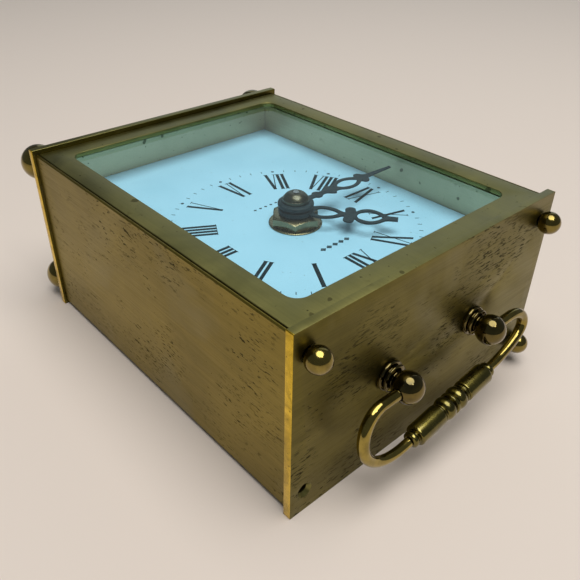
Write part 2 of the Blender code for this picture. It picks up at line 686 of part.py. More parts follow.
def make_centre_stack():
    """Washer and hexagon nut on the dial, and the domed nut on the minute arbor."""
    bush_hole = BUSH_RADIUS + BUSH_CLEARANCE
    ring = washer_profile(WASHER_RADIUS, bush_hole, GAP, WASHER_TOP)
    turned("dial_washer", ring, (*CENTRE, DIAL_Z), "Z", "polished_brass", 24, ring=True)
    nut = [circle(NUT_RADIUS, 6), circle(bush_hole, 24)]
    turn = Matrix.Translation((*CENTRE, DIAL_Z)) @ Matrix.Rotation(NUT_TURN, 4, "Z")
    prism("dial_nut", nut, WASHER_TOP + GAP, NUT_TOP, "polished_brass", turn=turn)
    inner = MINUTE_ARBOR_RADIUS + FRICTION_FIT
    dome = [(1.2 * MM, CAP_HEIGHT), (2.1 * MM, 2.0 * MM), (2.8 * MM, 1.45 * MM), (3.1 * MM, 0.9 * MM),
            (CAP_RADIUS, 0.8 * MM), (CAP_RADIUS, 0.0), (inner, 0.0), (inner, CAP_HEIGHT)]
    turned("cap_nut", dome, (*CENTRE, DIAL_Z + CAP_BOTTOM), "Z", "polished_brass", 20, ring=True)


def hour_hand_outlines():
    """Two open leaves with a pair of round lobes between them, as (distance, half width) in mm."""
    outer = [(3.2, 1.7), (4.4, 2.5), (6.5, 3.0), (9.2, 2.35), (11.3, 0.95), (11.9, 1.0)]
    lobe_radius = 1.35
    turns = [math.radians(angle) for angle in range(200, 0, -40)]
    lobe = [(13.0 + lobe_radius * math.cos(turn), 2.35 + lobe_radius * math.sin(turn)) for turn in turns]
    tail = [(14.4, 1.75), (15.6, 3.0), (17.6, 3.55), (19.8, 2.75), (21.4, 1.35), (22.3, 0.95), (24.4, 0.85)]
    leaves = [
        [(4.4, 0.0), (5.0, 1.35), (6.6, 2.0), (9.0, 1.35), (10.6, 0.0)],
        [(14.7, 0.0), (15.3, 1.55), (17.6, 2.5), (19.6, 1.7), (21.0, 0.0)],
    ]
    return hand_outlines(smooth_line(outer, 2) + lobe + smooth_line(tail, 2), leaves)


def minute_hand_outlines():
    """Knobs and scrolls before one open leaf, a second pair of scrolls and a long thin point, in mm."""
    outer = [(3.6, 1.0), (5.6, 0.8), (6.4, 1.35), (7.4, 1.4), (8.4, 0.8), (9.6, 0.9), (10.6, 1.75),
             (11.5, 2.2), (12.3, 1.5), (13.4, 1.45), (15.4, 2.4), (17.6, 2.65), (19.8, 2.1),
             (21.2, 1.4), (21.9, 2.35), (23.1, 2.3), (24.0, 1.15), (25.6, 0.75), (33.4, 0.42)]
    leaves = [[(13.9, 0.0), (15.0, 1.15), (17.2, 1.75), (19.2, 1.25), (20.8, 0.0)]]
    return hand_outlines(smooth_line(outer, 2), leaves)


def hand_outlines(half_outer, leaves):
    """Mirror the outer edge and each leaf about the hand's length, scaled to metres."""
    shapes = [mirrored(half_outer)]
    for leaf in leaves:
        curved = smooth_line(leaf, 2)
        side = [(width, along) for along, width in curved]
        shapes.append(side + [(-x, y) for x, y in reversed(side[1:-1])])
    return [[(x * MM, y * MM) for x, y in shape] for shape in shapes]


def make_hands():
    """Each hand is a flat pierced blade on a round boss; heights are in mm above the dial."""
    make_hand("hour_hand", hour_hand_outlines(), HOUR_HAND_ANGLE, (3.3, 3.75), (2.85, 4.3), 4.2 * MM,
              HOUR_PIPE_RADIUS)
    make_hand("minute_hand", minute_hand_outlines(), MINUTE_HAND_ANGLE, (5.1, 5.5), (4.65, 5.85), 4.35 * MM,
              MINUTE_ARBOR_RADIUS)


def make_hand(name, outlines, angle, blade, boss, boss_radius, shaft_radius):
    turn = Matrix.Translation((*CENTRE, DIAL_Z)) @ Matrix.Rotation(-angle, 4, "Z")
    hand = prism(name, outlines, blade[0] * MM, blade[1] * MM, "black_steel", turn=turn)
    boss_centre = (*CENTRE, DIAL_Z + (boss[0] + boss[1]) / 2 * MM)
    join(hand, cylinder(f"{name}_boss", boss_centre, boss_radius, (boss[1] - boss[0]) * MM, segments=32))
    cut(hand, cylinder(f"{name}_bore", boss_centre, shaft_radius + FRICTION_FIT, 4 * MM, segments=20))


# ---------------------------------------------------------------- movement

def gear_outline(teeth, module, phase=0.0):
    """A wheel's edge, with pointed teeth thinned for backlash; one tooth points at the phase, in degrees."""
    pitch_radius = teeth * module / 2
    tip = pitch_radius + 0.7 * module
    root = pitch_radius - 1.0 * module
    half_gap = 0.28
    step = 2 * math.pi / teeth
    points = []
    for index in range(teeth):
        for radius, offset in ((root, -half_gap), (tip, 0.0), (root, half_gap)):
            angle = math.radians(phase) + (index + offset) * step
            points.append((radius * math.cos(angle), radius * math.sin(angle)))
    return points


def gear(name, place, teeth, module, phase, bottom, top, material=None, bore=None):
    """A toothed wheel between two heights in mm, with a bore when its radius is given."""
    outlines = [gear_outline(teeth, module, phase)]
    if bore:
        outlines.append(circle(bore, 12))
    return prism(name, outlines, bottom * MM, top * MM, material, place)


def arbor(name, place, low, high, radius, material=None):
    centre = (*place, (low + high) / 2)
    return cylinder(name, centre, radius, high - low, material=material, segments=12)


def pivoted(item, place, low, high):
    join(item, arbor(f"{item.name}_arbor", place, low, high, PIVOT_RADIUS))


def make_motion_work():
    """The 12 to 1 gearing under the dial: arbor, cannon pinion, minute wheel and hour wheel with its pipe."""
    running_bore = MINUTE_ARBOR_RADIUS + 0.1 * MM
    arbor("minute_arbor", CENTRE, TRAIN_BRIDGE_Z - 0.1 * MM, DIAL_Z + 8.3 * MM, MINUTE_ARBOR_RADIUS, "steel")
    gear("cannon_pinion", CENTRE, SET_PINION, MOTION_MODULE, 180, 28.4, 29.5, "polished_brass",
         MINUTE_ARBOR_RADIUS + FRICTION_FIT)
    minute_wheel = gear("minute_wheel", MINUTE_PLACE, MINUTE_TEETH, MOTION_MODULE, 180 / MINUTE_TEETH,
                        28.5, 29.3, "polished_brass")
    join(minute_wheel, gear("minute_pinion", MINUTE_PLACE, SET_PINION, HOUR_MODULE, 0, 29.2, 30.8))
    pivoted(minute_wheel, MINUTE_PLACE, MIDDLE_PLATE_Z + 0.2 * MM, POCKET_ARBOR_TOP)
    hour_wheel = gear("hour_wheel", CENTRE, HOUR_TEETH, HOUR_MODULE, 180 + 180 / HOUR_TEETH, 29.9, 30.7,
                      "polished_brass")
    join(hour_wheel, arbor("hour_pipe", CENTRE, 30.0 * MM, HOUR_PIPE_TOP, HOUR_PIPE_RADIUS))
    cut(hour_wheel, arbor("hour_pipe_bore", CENTRE, 29.0 * MM, HOUR_PIPE_TOP + MM, running_bore))


def make_setting():
    """Hand-setting knob on the back of the movement, with its long stem and pinion."""
    rim = KNOB_RADIUS - 0.4 * MM
    profile = [(0.0, 2.4 * MM), (rim, 2.4 * MM), (KNOB_RADIUS, 2.1 * MM), (KNOB_RADIUS, 0.9 * MM),
               (rim, 0.6 * MM), (1.8 * MM, 0.6 * MM), (1.5 * MM, 0.9 * MM), (0.0, 0.9 * MM)]
    knob = turned("set_knob", profile, (*SET_PLACE, 0.0), "Z", "black_plastic", 20)
    join(knob, arbor("set_stem", SET_PLACE, 2.0 * MM, POCKET_ARBOR_TOP, STEM_RADIUS),
         gear("set_pinion", SET_PLACE, SET_PINION, MOTION_MODULE, 45, 28.5, 29.4))
    for index in range(KNOB_GROOVES):
        place = place_from(SET_PLACE, KNOB_RADIUS + 0.15 * MM, 360 / KNOB_GROOVES * index + KNOB_GROOVE_TURN)
        cut(knob, cylinder("knob_groove", (*place, 1.5 * MM), KNOB_GROOVE_RADIUS, 3 * MM, segments=6))


def make_going_train():
    """Rotor to centre wheel, 1800 to 1; the centre wheel slips on the minute arbor when the hands are set."""
    gear("centre_wheel", CENTRE, CENTRE_TEETH, THIRD_MODULE, 30, 24.4, 25.2, "polished_brass",
         MINUTE_ARBOR_RADIUS + 0.1 * MM)
    third = gear("third_wheel", THIRD_PLACE, THIRD_TEETH, FINE_MODULE, 90, 22.2, 22.8, "polished_brass")
    join(third, gear("third_pinion", THIRD_PLACE, SMALL_PINION, THIRD_MODULE, 240, 24.2, 25.4))
    seconds = gear("seconds_wheel", SECONDS_PLACE, SECONDS_TEETH, FINE_MODULE, 150, 25.8, 26.4,
                   "white_plastic")
    join(seconds, gear("seconds_pinion", SECONDS_PLACE, SMALL_PINION, FINE_MODULE, 300, 22.0, 23.0))
    step = gear("step_wheel", STEP_PLACE, STEP_TEETH, ROTOR_MODULE, 180, 24.4, 25.0, "white_plastic")
    join(step, gear("step_pinion", STEP_PLACE, SMALL_PINION, FINE_MODULE, 0, 25.6, 26.6))
    rotor = gear("rotor", ROTOR_PLACE, SMALL_PINION, ROTOR_MODULE, 30, 24.2, 25.2, "black_plastic")
    join(rotor, cylinder("rotor_magnet", (*ROTOR_PLACE, MAGNET_Z), MAGNET_RADIUS, MAGNET_RADIUS, segments=16))
    for item, place in zip((third, seconds, step, rotor), TRAIN_PLACES):
        pivoted(item, place, TRAIN_ARBOR_LOW, TRAIN_ARBOR_HIGH)


def make_train_plates():
    """Two thin plates that carry the arbors."""
    inset = SHELL_WALL + 0.2 * MM
    low_y = MOVEMENT_LOW_Y + inset
    high_y = MOVEMENT_HIGH_Y - inset
    outline = rectangle(MOVEMENT_HALF_WIDTH - inset, (high_y - low_y) / 2, centre=(0.0, (high_y + low_y) / 2))
    pivot_hole = PIVOT_RADIUS + PIVOT_CLEARANCE
    holes = [circle(MINUTE_ARBOR_RADIUS + 0.1 * MM, 12, CENTRE), circle(STEM_HOLE_RADIUS, 12, SET_PLACE)]
    holes += [circle(pivot_hole, 12, place) for place in TRAIN_PLACES]
    prism("train_bridge", [outline, *holes], TRAIN_BRIDGE_Z, TRAIN_BRIDGE_Z + PLATE_SHEET, "satin_brass")
    holes.append(circle(pivot_hole, 12, MINUTE_PLACE))
    prism("middle_plate", [outline, *holes], MIDDLE_PLATE_Z, MIDDLE_PLATE_Z + PLATE_SHEET, "satin_brass")


def make_motor():
    """Stator with its core through the coil."""
    x, y = ROTOR_PLACE
    left = x - STATOR_LENGTH
    right = x + 2.6 * MM
    limb_right = x + 0.8 * MM
    limb_left = limb_right - STATOR_LIMB
    low, high, tips = y - STATOR_HALF_BAR, y + STATOR_HALF_BAR, y + STATOR_REACH
    outline = [(left, low), (right, low), (right, high), (limb_right, high), (limb_right, tips),
               (limb_left, tips), (limb_left, high), (left + STATOR_LIMB, high), (left + STATOR_LIMB, tips),
               (left, tips)]
    stator = prism("stator", [outline, circle(ROTOR_HOLE_RADIUS, 20, ROTOR_PLACE)], STATOR_BOTTOM,
                   STATOR_BOTTOM + STATOR_THICKNESS, "steel")
    core_y = tips - 1.6 * MM
    core_length = limb_right - left - 0.6 * MM
    core_centre = ((left + limb_right) / 2, core_y, CORE_Z)
    join(stator, cylinder("coil_core", core_centre, CORE_RADIUS, core_length, "X", segments=12))
    winding = washer_profile(COIL_RADIUS, CORE_RADIUS + 0.2 * MM, -COIL_LENGTH / 2, COIL_LENGTH / 2)
    coil_x = (left + STATOR_LIMB + limb_left) / 2
    turned("coil", winding, (coil_x, core_y, CORE_Z), "X", "copper", 20, ring=True)


def make_circuit():
    """Circuit board with the quartz crystal's can lying on it."""
    box("circuit_board", BOARD_LOW, BOARD_HIGH, "circuit_green")
    middle_x = (BOARD_LOW[0] + BOARD_HIGH[0]) / 2
    crystal = (middle_x, BOARD_LOW[1] + 10.0 * MM, BOARD_HIGH[2] + CRYSTAL_RADIUS + GAP)
    cylinder("quartz_crystal", crystal, CRYSTAL_RADIUS, 6.0 * MM, "X", "steel", 12)


def make_front_shell():
    """Front half of the movement's moulded case, with the threaded bush that the dial nut clamps."""
    width = MOVEMENT_HALF_WIDTH
    front = box("movement_front", (-width, MOVEMENT_LOW_Y, MOVEMENT_SPLIT_Z + GAP),
                (width, MOVEMENT_HIGH_Y, MOVEMENT_FRONT_Z), "black_plastic")
    cavity = box("front_cavity", (-CAVITY_HALF_WIDTH, MOVEMENT_LOW_Y + SHELL_WALL, MOVEMENT_SPLIT_Z - MM),
                 (CAVITY_HALF_WIDTH, MOVEMENT_HIGH_Y - SHELL_WALL, MOVEMENT_FRONT_Z - SHELL_WALL))
    bush_bottom = MOVEMENT_FRONT_Z - MM
    bush = cylinder("bush", (*CENTRE, (bush_bottom + BUSH_TOP_Z) / 2), BUSH_RADIUS, BUSH_TOP_Z - bush_bottom,
                    segments=24)
    bore = cylinder("bush_bore", (*CENTRE, MOVEMENT_FRONT_Z), BUSH_BORE_RADIUS, 12 * MM, segments=24)
    pivot_hole = PIVOT_RADIUS + PIVOT_CLEARANCE
    join(front, bush)
    cut(front, cavity, bore,
        arbor("minute_pocket", MINUTE_PLACE, POCKET_BOTTOM, POCKET_TOP, pivot_hole),
        arbor("stem_pocket", SET_PLACE, POCKET_BOTTOM, POCKET_TOP, STEM_HOLE_RADIUS))


def make_back_shell():
    """Back half of the movement's case, open to the battery trough, with a recess for the sliding lid."""
    width = MOVEMENT_HALF_WIDTH
    back = box("movement_back", (-width, MOVEMENT_LOW_Y, MOVEMENT_BACK_Z),
               (width, MOVEMENT_HIGH_Y, MOVEMENT_SPLIT_Z), "black_plastic")
    room = box("back_cavity", (-CAVITY_HALF_WIDTH, BATTERY_Y + 9.6 * MM, MOVEMENT_BACK_Z + SHELL_WALL),
               (CAVITY_HALF_WIDTH, MOVEMENT_HIGH_Y - SHELL_WALL, MOVEMENT_SPLIT_Z + MM))
    trough = box("battery_trough", (-TROUGH_HALF_LENGTH, BATTERY_Y - TROUGH_HALF_WIDTH, MOVEMENT_BACK_Z - MM),
                 (TROUGH_HALF_LENGTH, BATTERY_Y + TROUGH_HALF_WIDTH, BATTERY_Z + BATTERY_RADIUS + 0.2 * MM))
    recess_half = LID_HALF_LENGTH + LID_SIDE_GAP
    recess = box("lid_recess", (-recess_half, MOVEMENT_LOW_Y - MM, MOVEMENT_BACK_Z - MM),
                 (recess_half, LID_HIGH_Y + 0.2 * MM, MOVEMENT_BACK_Z + LID_THICKNESS + 0.15 * MM))
    stem = arbor("stem_hole", SET_PLACE, MOVEMENT_BACK_Z - MM, MOVEMENT_BACK_Z + 3 * MM, STEM_HOLE_RADIUS)
    cut(back, room, trough, recess, stem)


def make_battery():
    """One AA cell and its two contacts."""
    half = BATTERY_HALF_LENGTH
    button_top = half + BATTERY_BUTTON_HEIGHT
    cell = [(0.0, button_top), (BATTERY_BUTTON_RADIUS, button_top), (BATTERY_BUTTON_RADIUS, half),
            (BATTERY_RADIUS, half), (BATTERY_RADIUS, -half), (0.0, -half)]
    turned("battery", cell, (0.0, BATTERY_Y, BATTERY_Z), "X", "battery_wrap", 24)
    for name, side, inner in (("plus", 1, button_top + 0.2 * MM), ("minus", -1, half + 0.4 * MM)):
        low, high = sorted((side * inner, side * (inner + CONTACT_THICKNESS)))
        box(f"battery_contact_{name}", (low, BATTERY_Y - 4 * MM, BATTERY_Z - 5 * MM),
            (high, BATTERY_Y + 4 * MM, BATTERY_Z + 6 * MM), "steel")


def make_lid():
    """Ridged lid that slides down to free the cell."""
    lid = box("battery_lid", (-LID_HALF_LENGTH, LID_LOW_Y, MOVEMENT_BACK_Z),
              (LID_HALF_LENGTH, LID_HIGH_Y, MOVEMENT_BACK_Z + LID_THICKNESS), "black_plastic")
    half_length = 6.0 * MM
    half_width = 0.35 * MM
    for index in range(LID_RIDGES):
        y = LID_LOW_Y + 2.6 * MM + index * LID_RIDGE_PITCH
        join(lid, box("lid_ridge", (-half_length, y - half_width, MOVEMENT_BACK_Z - 0.25 * MM),
                      (half_length, y + half_width, MOVEMENT_BACK_Z + 0.2 * MM)))


make_plates()
make_side_panels()
make_front()
make_dial()
make_back()
make_corner_screws()
make_handle_posts()
make_handle()
make_centre_stack()
make_hands()
make_motion_work()
make_setting()
make_going_train()
make_train_plates()
make_motor()
make_circuit()
make_front_shell()
make_back_shell()
make_battery()
make_lid()
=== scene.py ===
"""Looks of a small brass carriage clock that lies on its back.

+X is the 3 o'clock side, +Y the handle's end and +Z comes out of the dial.
"""

import json
import math

import bmesh
import bpy
from mathutils import Matrix, Vector

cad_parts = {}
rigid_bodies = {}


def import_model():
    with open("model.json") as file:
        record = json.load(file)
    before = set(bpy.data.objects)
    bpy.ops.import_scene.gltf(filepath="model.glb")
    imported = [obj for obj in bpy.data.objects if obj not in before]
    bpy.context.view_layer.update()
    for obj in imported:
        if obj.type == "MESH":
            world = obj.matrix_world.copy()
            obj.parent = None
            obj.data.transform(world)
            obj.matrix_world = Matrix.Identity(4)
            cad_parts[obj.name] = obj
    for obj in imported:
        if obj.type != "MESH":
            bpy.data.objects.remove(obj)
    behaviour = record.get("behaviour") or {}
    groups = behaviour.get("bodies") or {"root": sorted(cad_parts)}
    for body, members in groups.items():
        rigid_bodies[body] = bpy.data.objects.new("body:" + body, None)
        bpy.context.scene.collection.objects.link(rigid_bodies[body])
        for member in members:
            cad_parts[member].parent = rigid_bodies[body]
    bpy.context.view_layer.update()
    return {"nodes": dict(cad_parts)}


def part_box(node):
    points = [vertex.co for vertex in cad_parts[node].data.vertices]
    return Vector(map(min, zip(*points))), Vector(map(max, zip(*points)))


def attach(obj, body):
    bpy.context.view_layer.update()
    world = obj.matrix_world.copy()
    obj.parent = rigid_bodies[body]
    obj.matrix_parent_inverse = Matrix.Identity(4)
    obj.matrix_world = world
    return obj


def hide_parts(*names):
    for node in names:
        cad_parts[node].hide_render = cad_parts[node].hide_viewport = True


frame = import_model()
NODES = frame["nodes"]

MM = 0.001
ORIGIN = (0.0, 0.0, 0.0)


# ---------------------------------------------------------------- places taken from the CAD

def middle(box):
    """Centre of a box given by its lowest and highest corners."""
    return tuple((low + high) / 2 for low, high in zip(*box))


TOP_LOW, TOP_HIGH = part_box("top_plate")
BOTTOM_LOW, BOTTOM_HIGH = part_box("bottom_plate")
PLATE_TOP = TOP_HIGH.y
DIAL_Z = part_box("dial")[1].z
CENTRE_Y = middle(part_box("dial_washer"))[1]
SCREW_X, _, SCREW_FRONT_Z = middle(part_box("ball_screw_front_right"))
SCREW_BACK_Z = middle(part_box("ball_screw_back_left"))[2]
SCREW_PLACES = [(x, z) for x in (SCREW_X, -SCREW_X) for z in (SCREW_FRONT_Z, SCREW_BACK_Z)]
POST_X, _, HANDLE_Z = middle(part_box("handle_post_right"))

# The handle's hinge axis above the top plate in mm, and the angle at which the handle hangs at rest.
HINGE_HEIGHT = 5.2
HANDLE_Y = PLATE_TOP + HINGE_HEIGHT * MM
HANDLE_ANGLE = math.radians(9.5)


# ---------------------------------------------------------------- node materials

class Shade:
    """A material with one Principled shader and short calls for the nodes that feed it."""

    def __init__(self, name):
        self.material = bpy.data.materials.new(name)
        self.material.use_nodes = True
        self.tree = self.material.node_tree
        self.shader = self.tree.nodes["Principled BSDF"]
        self.place = self.tree.nodes.new("ShaderNodeTexCoord").outputs["Object"]

    def put(self, socket, value):
        """Feed a socket from another node's output, or set it to a number, a vector or a colour."""
        if hasattr(value, "links"):
            self.tree.links.new(value, socket)
        elif hasattr(value, "__len__") and len(value) == 3 and len(socket.default_value) == 4:
            socket.default_value = (*value, 1.0)
        else:
            socket.default_value = value

    def feed(self, node, values):
        """Put values in a node's inputs, by name with _ for a space."""
        for name, value in values.items():
            self.put(node.inputs[name.replace("_", " ")], value)

    def set(self, **values):
        self.feed(self.shader, values)

    def node(self, kind, **values):
        node = self.tree.nodes.new(kind)
        self.feed(node, values)
        return node

    def scaled(self, scale, offset=ORIGIN):
        node = self.node("ShaderNodeMapping", Vector=self.place, Scale=scale, Location=offset)
        return node.outputs["Vector"]

    def noise(self, scale, detail=3.0, rough=0.55, offset=ORIGIN, distortion=0.0):
        """Cloudy noise; scale is in cycles per metre, as one number or along X, Y and Z."""
        if not hasattr(scale, "__len__"):
            scale = (scale, scale, scale)
        node = self.node("ShaderNodeTexNoise", Vector=self.scaled(scale, offset), Scale=1.0, Detail=detail,
                         Roughness=rough, Distortion=distortion)
        return node.outputs["Fac"]

    def cells(self, scale):
        node = self.node("ShaderNodeTexVoronoi", Vector=self.scaled(scale), Scale=1.0)
        return node.outputs["Distance"]

    def ramp(self, value, low, high, start=0.0, end=1.0):
        """Bring a value from low..high to start..end, and hold it there."""
        node = self.node("ShaderNodeMapRange", Value=value, From_Min=low, From_Max=high, To_Min=start,
                         To_Max=end)
        return node.outputs["Result"]

    def math(self, operation, first, second=0.0):
        node = self.tree.nodes.new("ShaderNodeMath")
        node.operation = operation
        self.put(node.inputs[0], first)
        self.put(node.inputs[1], second)
        return node.outputs[0]

    def times(self, first, second):
        return self.math("MULTIPLY", first, second)

    def mix(self, factor, first, second):
        node = self.tree.nodes.new("ShaderNodeMix")
        node.data_type = "RGBA"
        self.put(node.inputs["Factor"], factor)
        self.put(node.inputs[6], first)
        self.put(node.inputs[7], second)
        return node.outputs[2]

    def bump(self, height, distance, strength):
        node = self.node("ShaderNodeBump", Height=height, Distance=distance, Strength=strength)
        self.put(self.shader.inputs["Normal"], node.outputs["Normal"])

    def along(self, axis):
        """Place along one of the object's axes, in metres."""
        split = self.tree.nodes.new("ShaderNodeSeparateXYZ")
        self.put(split.inputs[0], self.place)
        return split.outputs[axis]


def stretched(axis, across, along):
    """Texture scale in cycles per metre for marks drawn out along one axis."""
    return tuple(along if name == axis else across for name in "XYZ")


SOIL = (0.022, 0.018, 0.008)
PALE_HAZE = (0.25, 0.23, 0.13)


def shaded(colour, share):
    """A colour with each of its parts multiplied by share, up to 1."""
    return tuple(min(1.0, part * share) for part in colour)


def brushed_brass(name, axis, dark, light, roughness, pits, haze, offset=ORIGIN):
    """Old brushed brass: fine drawn lines, cloudy tarnish, pale haze and short dark pits along the brushing.

    A lower value of pits gives more of them; haze is how much of the pale colour shows.
    """
    shade = Shade(name)
    lines = shade.noise(stretched(axis, 3600.0, 60.0), 5.0, 0.7, offset)
    broad = shade.noise(stretched(axis, 520.0, 22.0), 3.0, 0.6, offset)
    cloud = shade.noise(26.0, 4.0, 0.6, offset, 0.6)
    marks = shade.noise(stretched(axis, 2900.0, 560.0), 2.0, 0.5, offset)
    fields = shade.noise(55.0, 3.0, 0.6, offset)
    pale = shade.ramp(shade.noise(34.0, 3.0, 0.6, (0.7, 0.2, 0.9), 0.5), 0.52, 0.68)
    pit = shade.times(shade.ramp(marks, pits, pits + 0.05), shade.ramp(fields, 0.48, 0.64))
    chips = shade.noise(stretched(axis, 1500.0, 430.0), 3.0, 0.6, (0.9, 0.4, 0.2))
    groups = shade.noise(48.0, 2.0, 0.5, (0.2, 0.6, 0.5))
    chip = shade.times(shade.ramp(chips, 0.62, 0.645), shade.ramp(groups, 0.48, 0.62))
    flecks = shade.ramp(shade.noise(1300.0, 2.0, 0.5, offset), 0.72, 0.80)
    colour = shade.mix(shade.ramp(cloud, 0.32, 0.68), dark, light)
    colour = shade.mix(shade.ramp(lines, 0.35, 0.75, 0.0, 0.30), colour, shaded(dark, 0.5))
    colour = shade.mix(shade.ramp(broad, 0.45, 0.7, 0.0, 0.16), colour, shaded(light, 1.3))
    colour = shade.mix(shade.times(pale, haze), colour, PALE_HAZE)
    soil = shade.math("MAXIMUM", shade.math("MAXIMUM", pit, chip), flecks)
    colour = shade.mix(shade.times(soil, 0.8), colour, SOIL)
    rough = shade.ramp(lines, 0.3, 0.7, roughness - 0.08, roughness + 0.08)
    rough = shade.math("ADD", rough, shade.times(soil, 0.3))
    shade.set(Base_Color=colour, Metallic=1.0, Roughness=rough)
    height = shade.math("ADD", lines, shade.times(broad, 0.6))
    shade.bump(shade.math("SUBTRACT", height, shade.times(soil, 1.6)), 0.022 * MM, 0.5)
    return shade.material


def polished_brass(name, dark, light, roughness, wear, offset=ORIGIN):
    """Turned brass under thin lacquer, with soft tarnish, fine hairlines and dark spots."""
    shade = Shade(name)
    cloud = shade.noise(160.0, 4.0, 0.6, offset, 0.4)
    grime = shade.noise(520.0, 3.0, 0.6, offset)
    hair = shade.noise((2600.0, 700.0, 900.0), 2.0, 0.5, offset)
    spots = shade.ramp(shade.noise(1400.0, 2.0, 0.5, offset), 0.70, 0.78)
    colour = shade.mix(shade.ramp(cloud, 0.35, 0.65), dark, light)
    colour = shade.mix(shade.ramp(grime, 0.5, 0.8, 0.0, 0.4), colour, shaded(dark, 0.4))
    colour = shade.mix(shade.times(spots, wear), colour, (0.03, 0.022, 0.01))
    rough = shade.ramp(grime, 0.42, 0.8, roughness, roughness + 0.12)
    rough = shade.math("ADD", rough, shade.times(spots, 0.25))
    shade.set(Base_Color=colour, Metallic=1.0, Roughness=rough, Coat_Weight=0.4, Coat_Roughness=0.06)
    shade.bump(shade.math("ADD", hair, shade.times(grime, 0.7)), 0.004 * MM, 0.5)
    return shade.material


def satin_brass(name, dark, light, roughness, axis="Y"):
    """Rolled sheet with a soft olive tarnish and thin scratches."""
    shade = Shade(name)
    cloud = shade.noise(45.0, 4.0, 0.6, (0.3, 0.1, 0.7), 0.5)
    lines = shade.noise(stretched(axis, 2400.0, 45.0), 4.0, 0.65)
    specks = shade.ramp(shade.noise(1100.0, 2.0, 0.5, (0.2, 0.9, 0.4)), 0.71, 0.77)
    stains = shade.ramp(shade.noise(130.0, 3.0, 0.6, (0.8, 0.2, 0.1)), 0.66, 0.76)
    dents = shade.ramp(shade.noise(330.0, 1.0, 0.4, (0.4, 0.3, 0.6)), 0.735, 0.765)
    colour = shade.mix(shade.ramp(cloud, 0.35, 0.65), dark, light)
    colour = shade.mix(shade.ramp(lines, 0.4, 0.75, 0.0, 0.16), colour, shaded(dark, 0.5))
    marks = shade.math("MAXIMUM", specks, shade.times(dents, 0.8))
    soil = shade.math("MAXIMUM", marks, shade.times(stains, 0.5))
    colour = shade.mix(shade.times(soil, 0.8), colour, (0.03, 0.028, 0.012))
    rough = shade.ramp(cloud, 0.3, 0.7, roughness - 0.05, roughness + 0.07)
    rough = shade.math("ADD", rough, shade.times(soil, 0.2))
    shade.set(Base_Color=colour, Metallic=1.0, Roughness=rough)
    shade.bump(shade.math("SUBTRACT", lines, shade.times(soil, 1.5)), 0.014 * MM, 0.5)
    return shade.material


def edge_brass_with_painted_reflection(name, dark, light):
    """Bright edge of a plate, partly wear and partly a painted reflection of warm light from the side, with
    dark nicks across it.
    """
    shade = Shade(name)
    cloud = shade.noise(220.0, 4.0, 0.65, (0.5, 0.4, 0.2), 0.8)
    nicks = shade.ramp(shade.noise(1000.0, 3.0, 0.6, (0.1, 0.6, 0.3)), 0.62, 0.72)
    colour = shade.mix(shade.ramp(cloud, 0.35, 0.62), dark, light)
    colour = shade.mix(shade.times(nicks, 0.7), colour, shaded(dark, 0.15))
    shade.set(Base_Color=colour, Metallic=1.0, Roughness=shade.ramp(cloud, 0.3, 0.7, 0.34, 0.2))
    shade.bump(shade.math("SUBTRACT", cloud, shade.times(nicks, 0.7)), 0.03 * MM, 0.5)
    return shade.material


def dial_paint():
    """Matt pale blue-white paint with faint dust and a few dark specks."""
    shade = Shade("dial_paint")
    cloud = shade.noise(55.0, 4.0, 0.6)
    dust = shade.ramp(shade.noise(1500.0, 2.0, 0.5), 0.71, 0.76)
    colour = shade.mix(shade.ramp(cloud, 0.3, 0.7), (0.385, 0.71, 0.91), (0.435, 0.76, 0.96))
    colour = shade.mix(shade.times(dust, 0.6), colour, (0.12, 0.19, 0.22))
    shade.set(Base_Color=colour, Roughness=shade.ramp(cloud, 0.3, 0.7, 0.45, 0.6))
    shade.bump(shade.noise(3000.0, 2.0), 0.004 * MM, 0.4)
    return shade.material


def ink(name, colour, worn):
    """Printed ink that lets some of the dial's blue through where it is worn."""
    shade = Shade(name)
    wear = shade.noise(900.0, 3.0, 0.6)
    colour = shade.mix(shade.ramp(wear, 0.4, 0.75, 0.0, worn), colour, (0.20, 0.30, 0.34))
    shade.set(Base_Color=colour, Roughness=shade.ramp(wear, 0.3, 0.7, 0.5, 0.7), Specular_IOR_Level=0.12)
    return shade.material


def hand_paint():
    """Black stoved paint, mottled blue-grey."""
    shade = Shade("hand_paint")
    wear = shade.noise(700.0, 3.0, 0.6)
    colour = shade.mix(shade.ramp(wear, 0.35, 0.7), (0.010, 0.022, 0.028), (0.022, 0.042, 0.050))
    shade.set(Base_Color=colour, Roughness=shade.ramp(wear, 0.3, 0.7, 0.42, 0.6), Specular_IOR_Level=0.18)
    shade.bump(wear, 0.01 * MM, 0.5)
    return shade.material


def plain_stock(name, dark, light, roughness, metallic, grain=900.0, depth=0.01):
    """Moulded or rolled stock with a faint mottled grain."""
    shade = Shade(name)
    mottle = shade.noise(grain, 3.0, 0.6)
    cloud = shade.noise(120.0, 3.0, 0.6)
    colour = shade.mix(shade.ramp(shade.times(mottle, cloud), 0.12, 0.38), dark, light)
    shade.set(Base_Color=colour, Metallic=metallic,
              Roughness=shade.ramp(mottle, 0.3, 0.7, roughness - 0.06, roughness + 0.08))
    shade.bump(mottle, depth * MM, 0.6)
    return shade.material


def copper_wire():
    """Fine enamelled turns side by side round the X axis."""
    shade = Shade("copper_wire")
    wave = shade.node("ShaderNodeTexWave", Vector=shade.place, Scale=900.0)
    tone = shade.noise(300.0, 2.0)
    colour = shade.mix(shade.ramp(tone, 0.3, 0.7), (0.36, 0.10, 0.03), (0.55, 0.19, 0.07))
    shade.set(Base_Color=colour, Metallic=0.9, Roughness=shade.ramp(tone, 0.3, 0.7, 0.25, 0.4))
    shade.bump(wave.outputs["Fac"], 0.05 * MM, 0.8)
    return shade.material


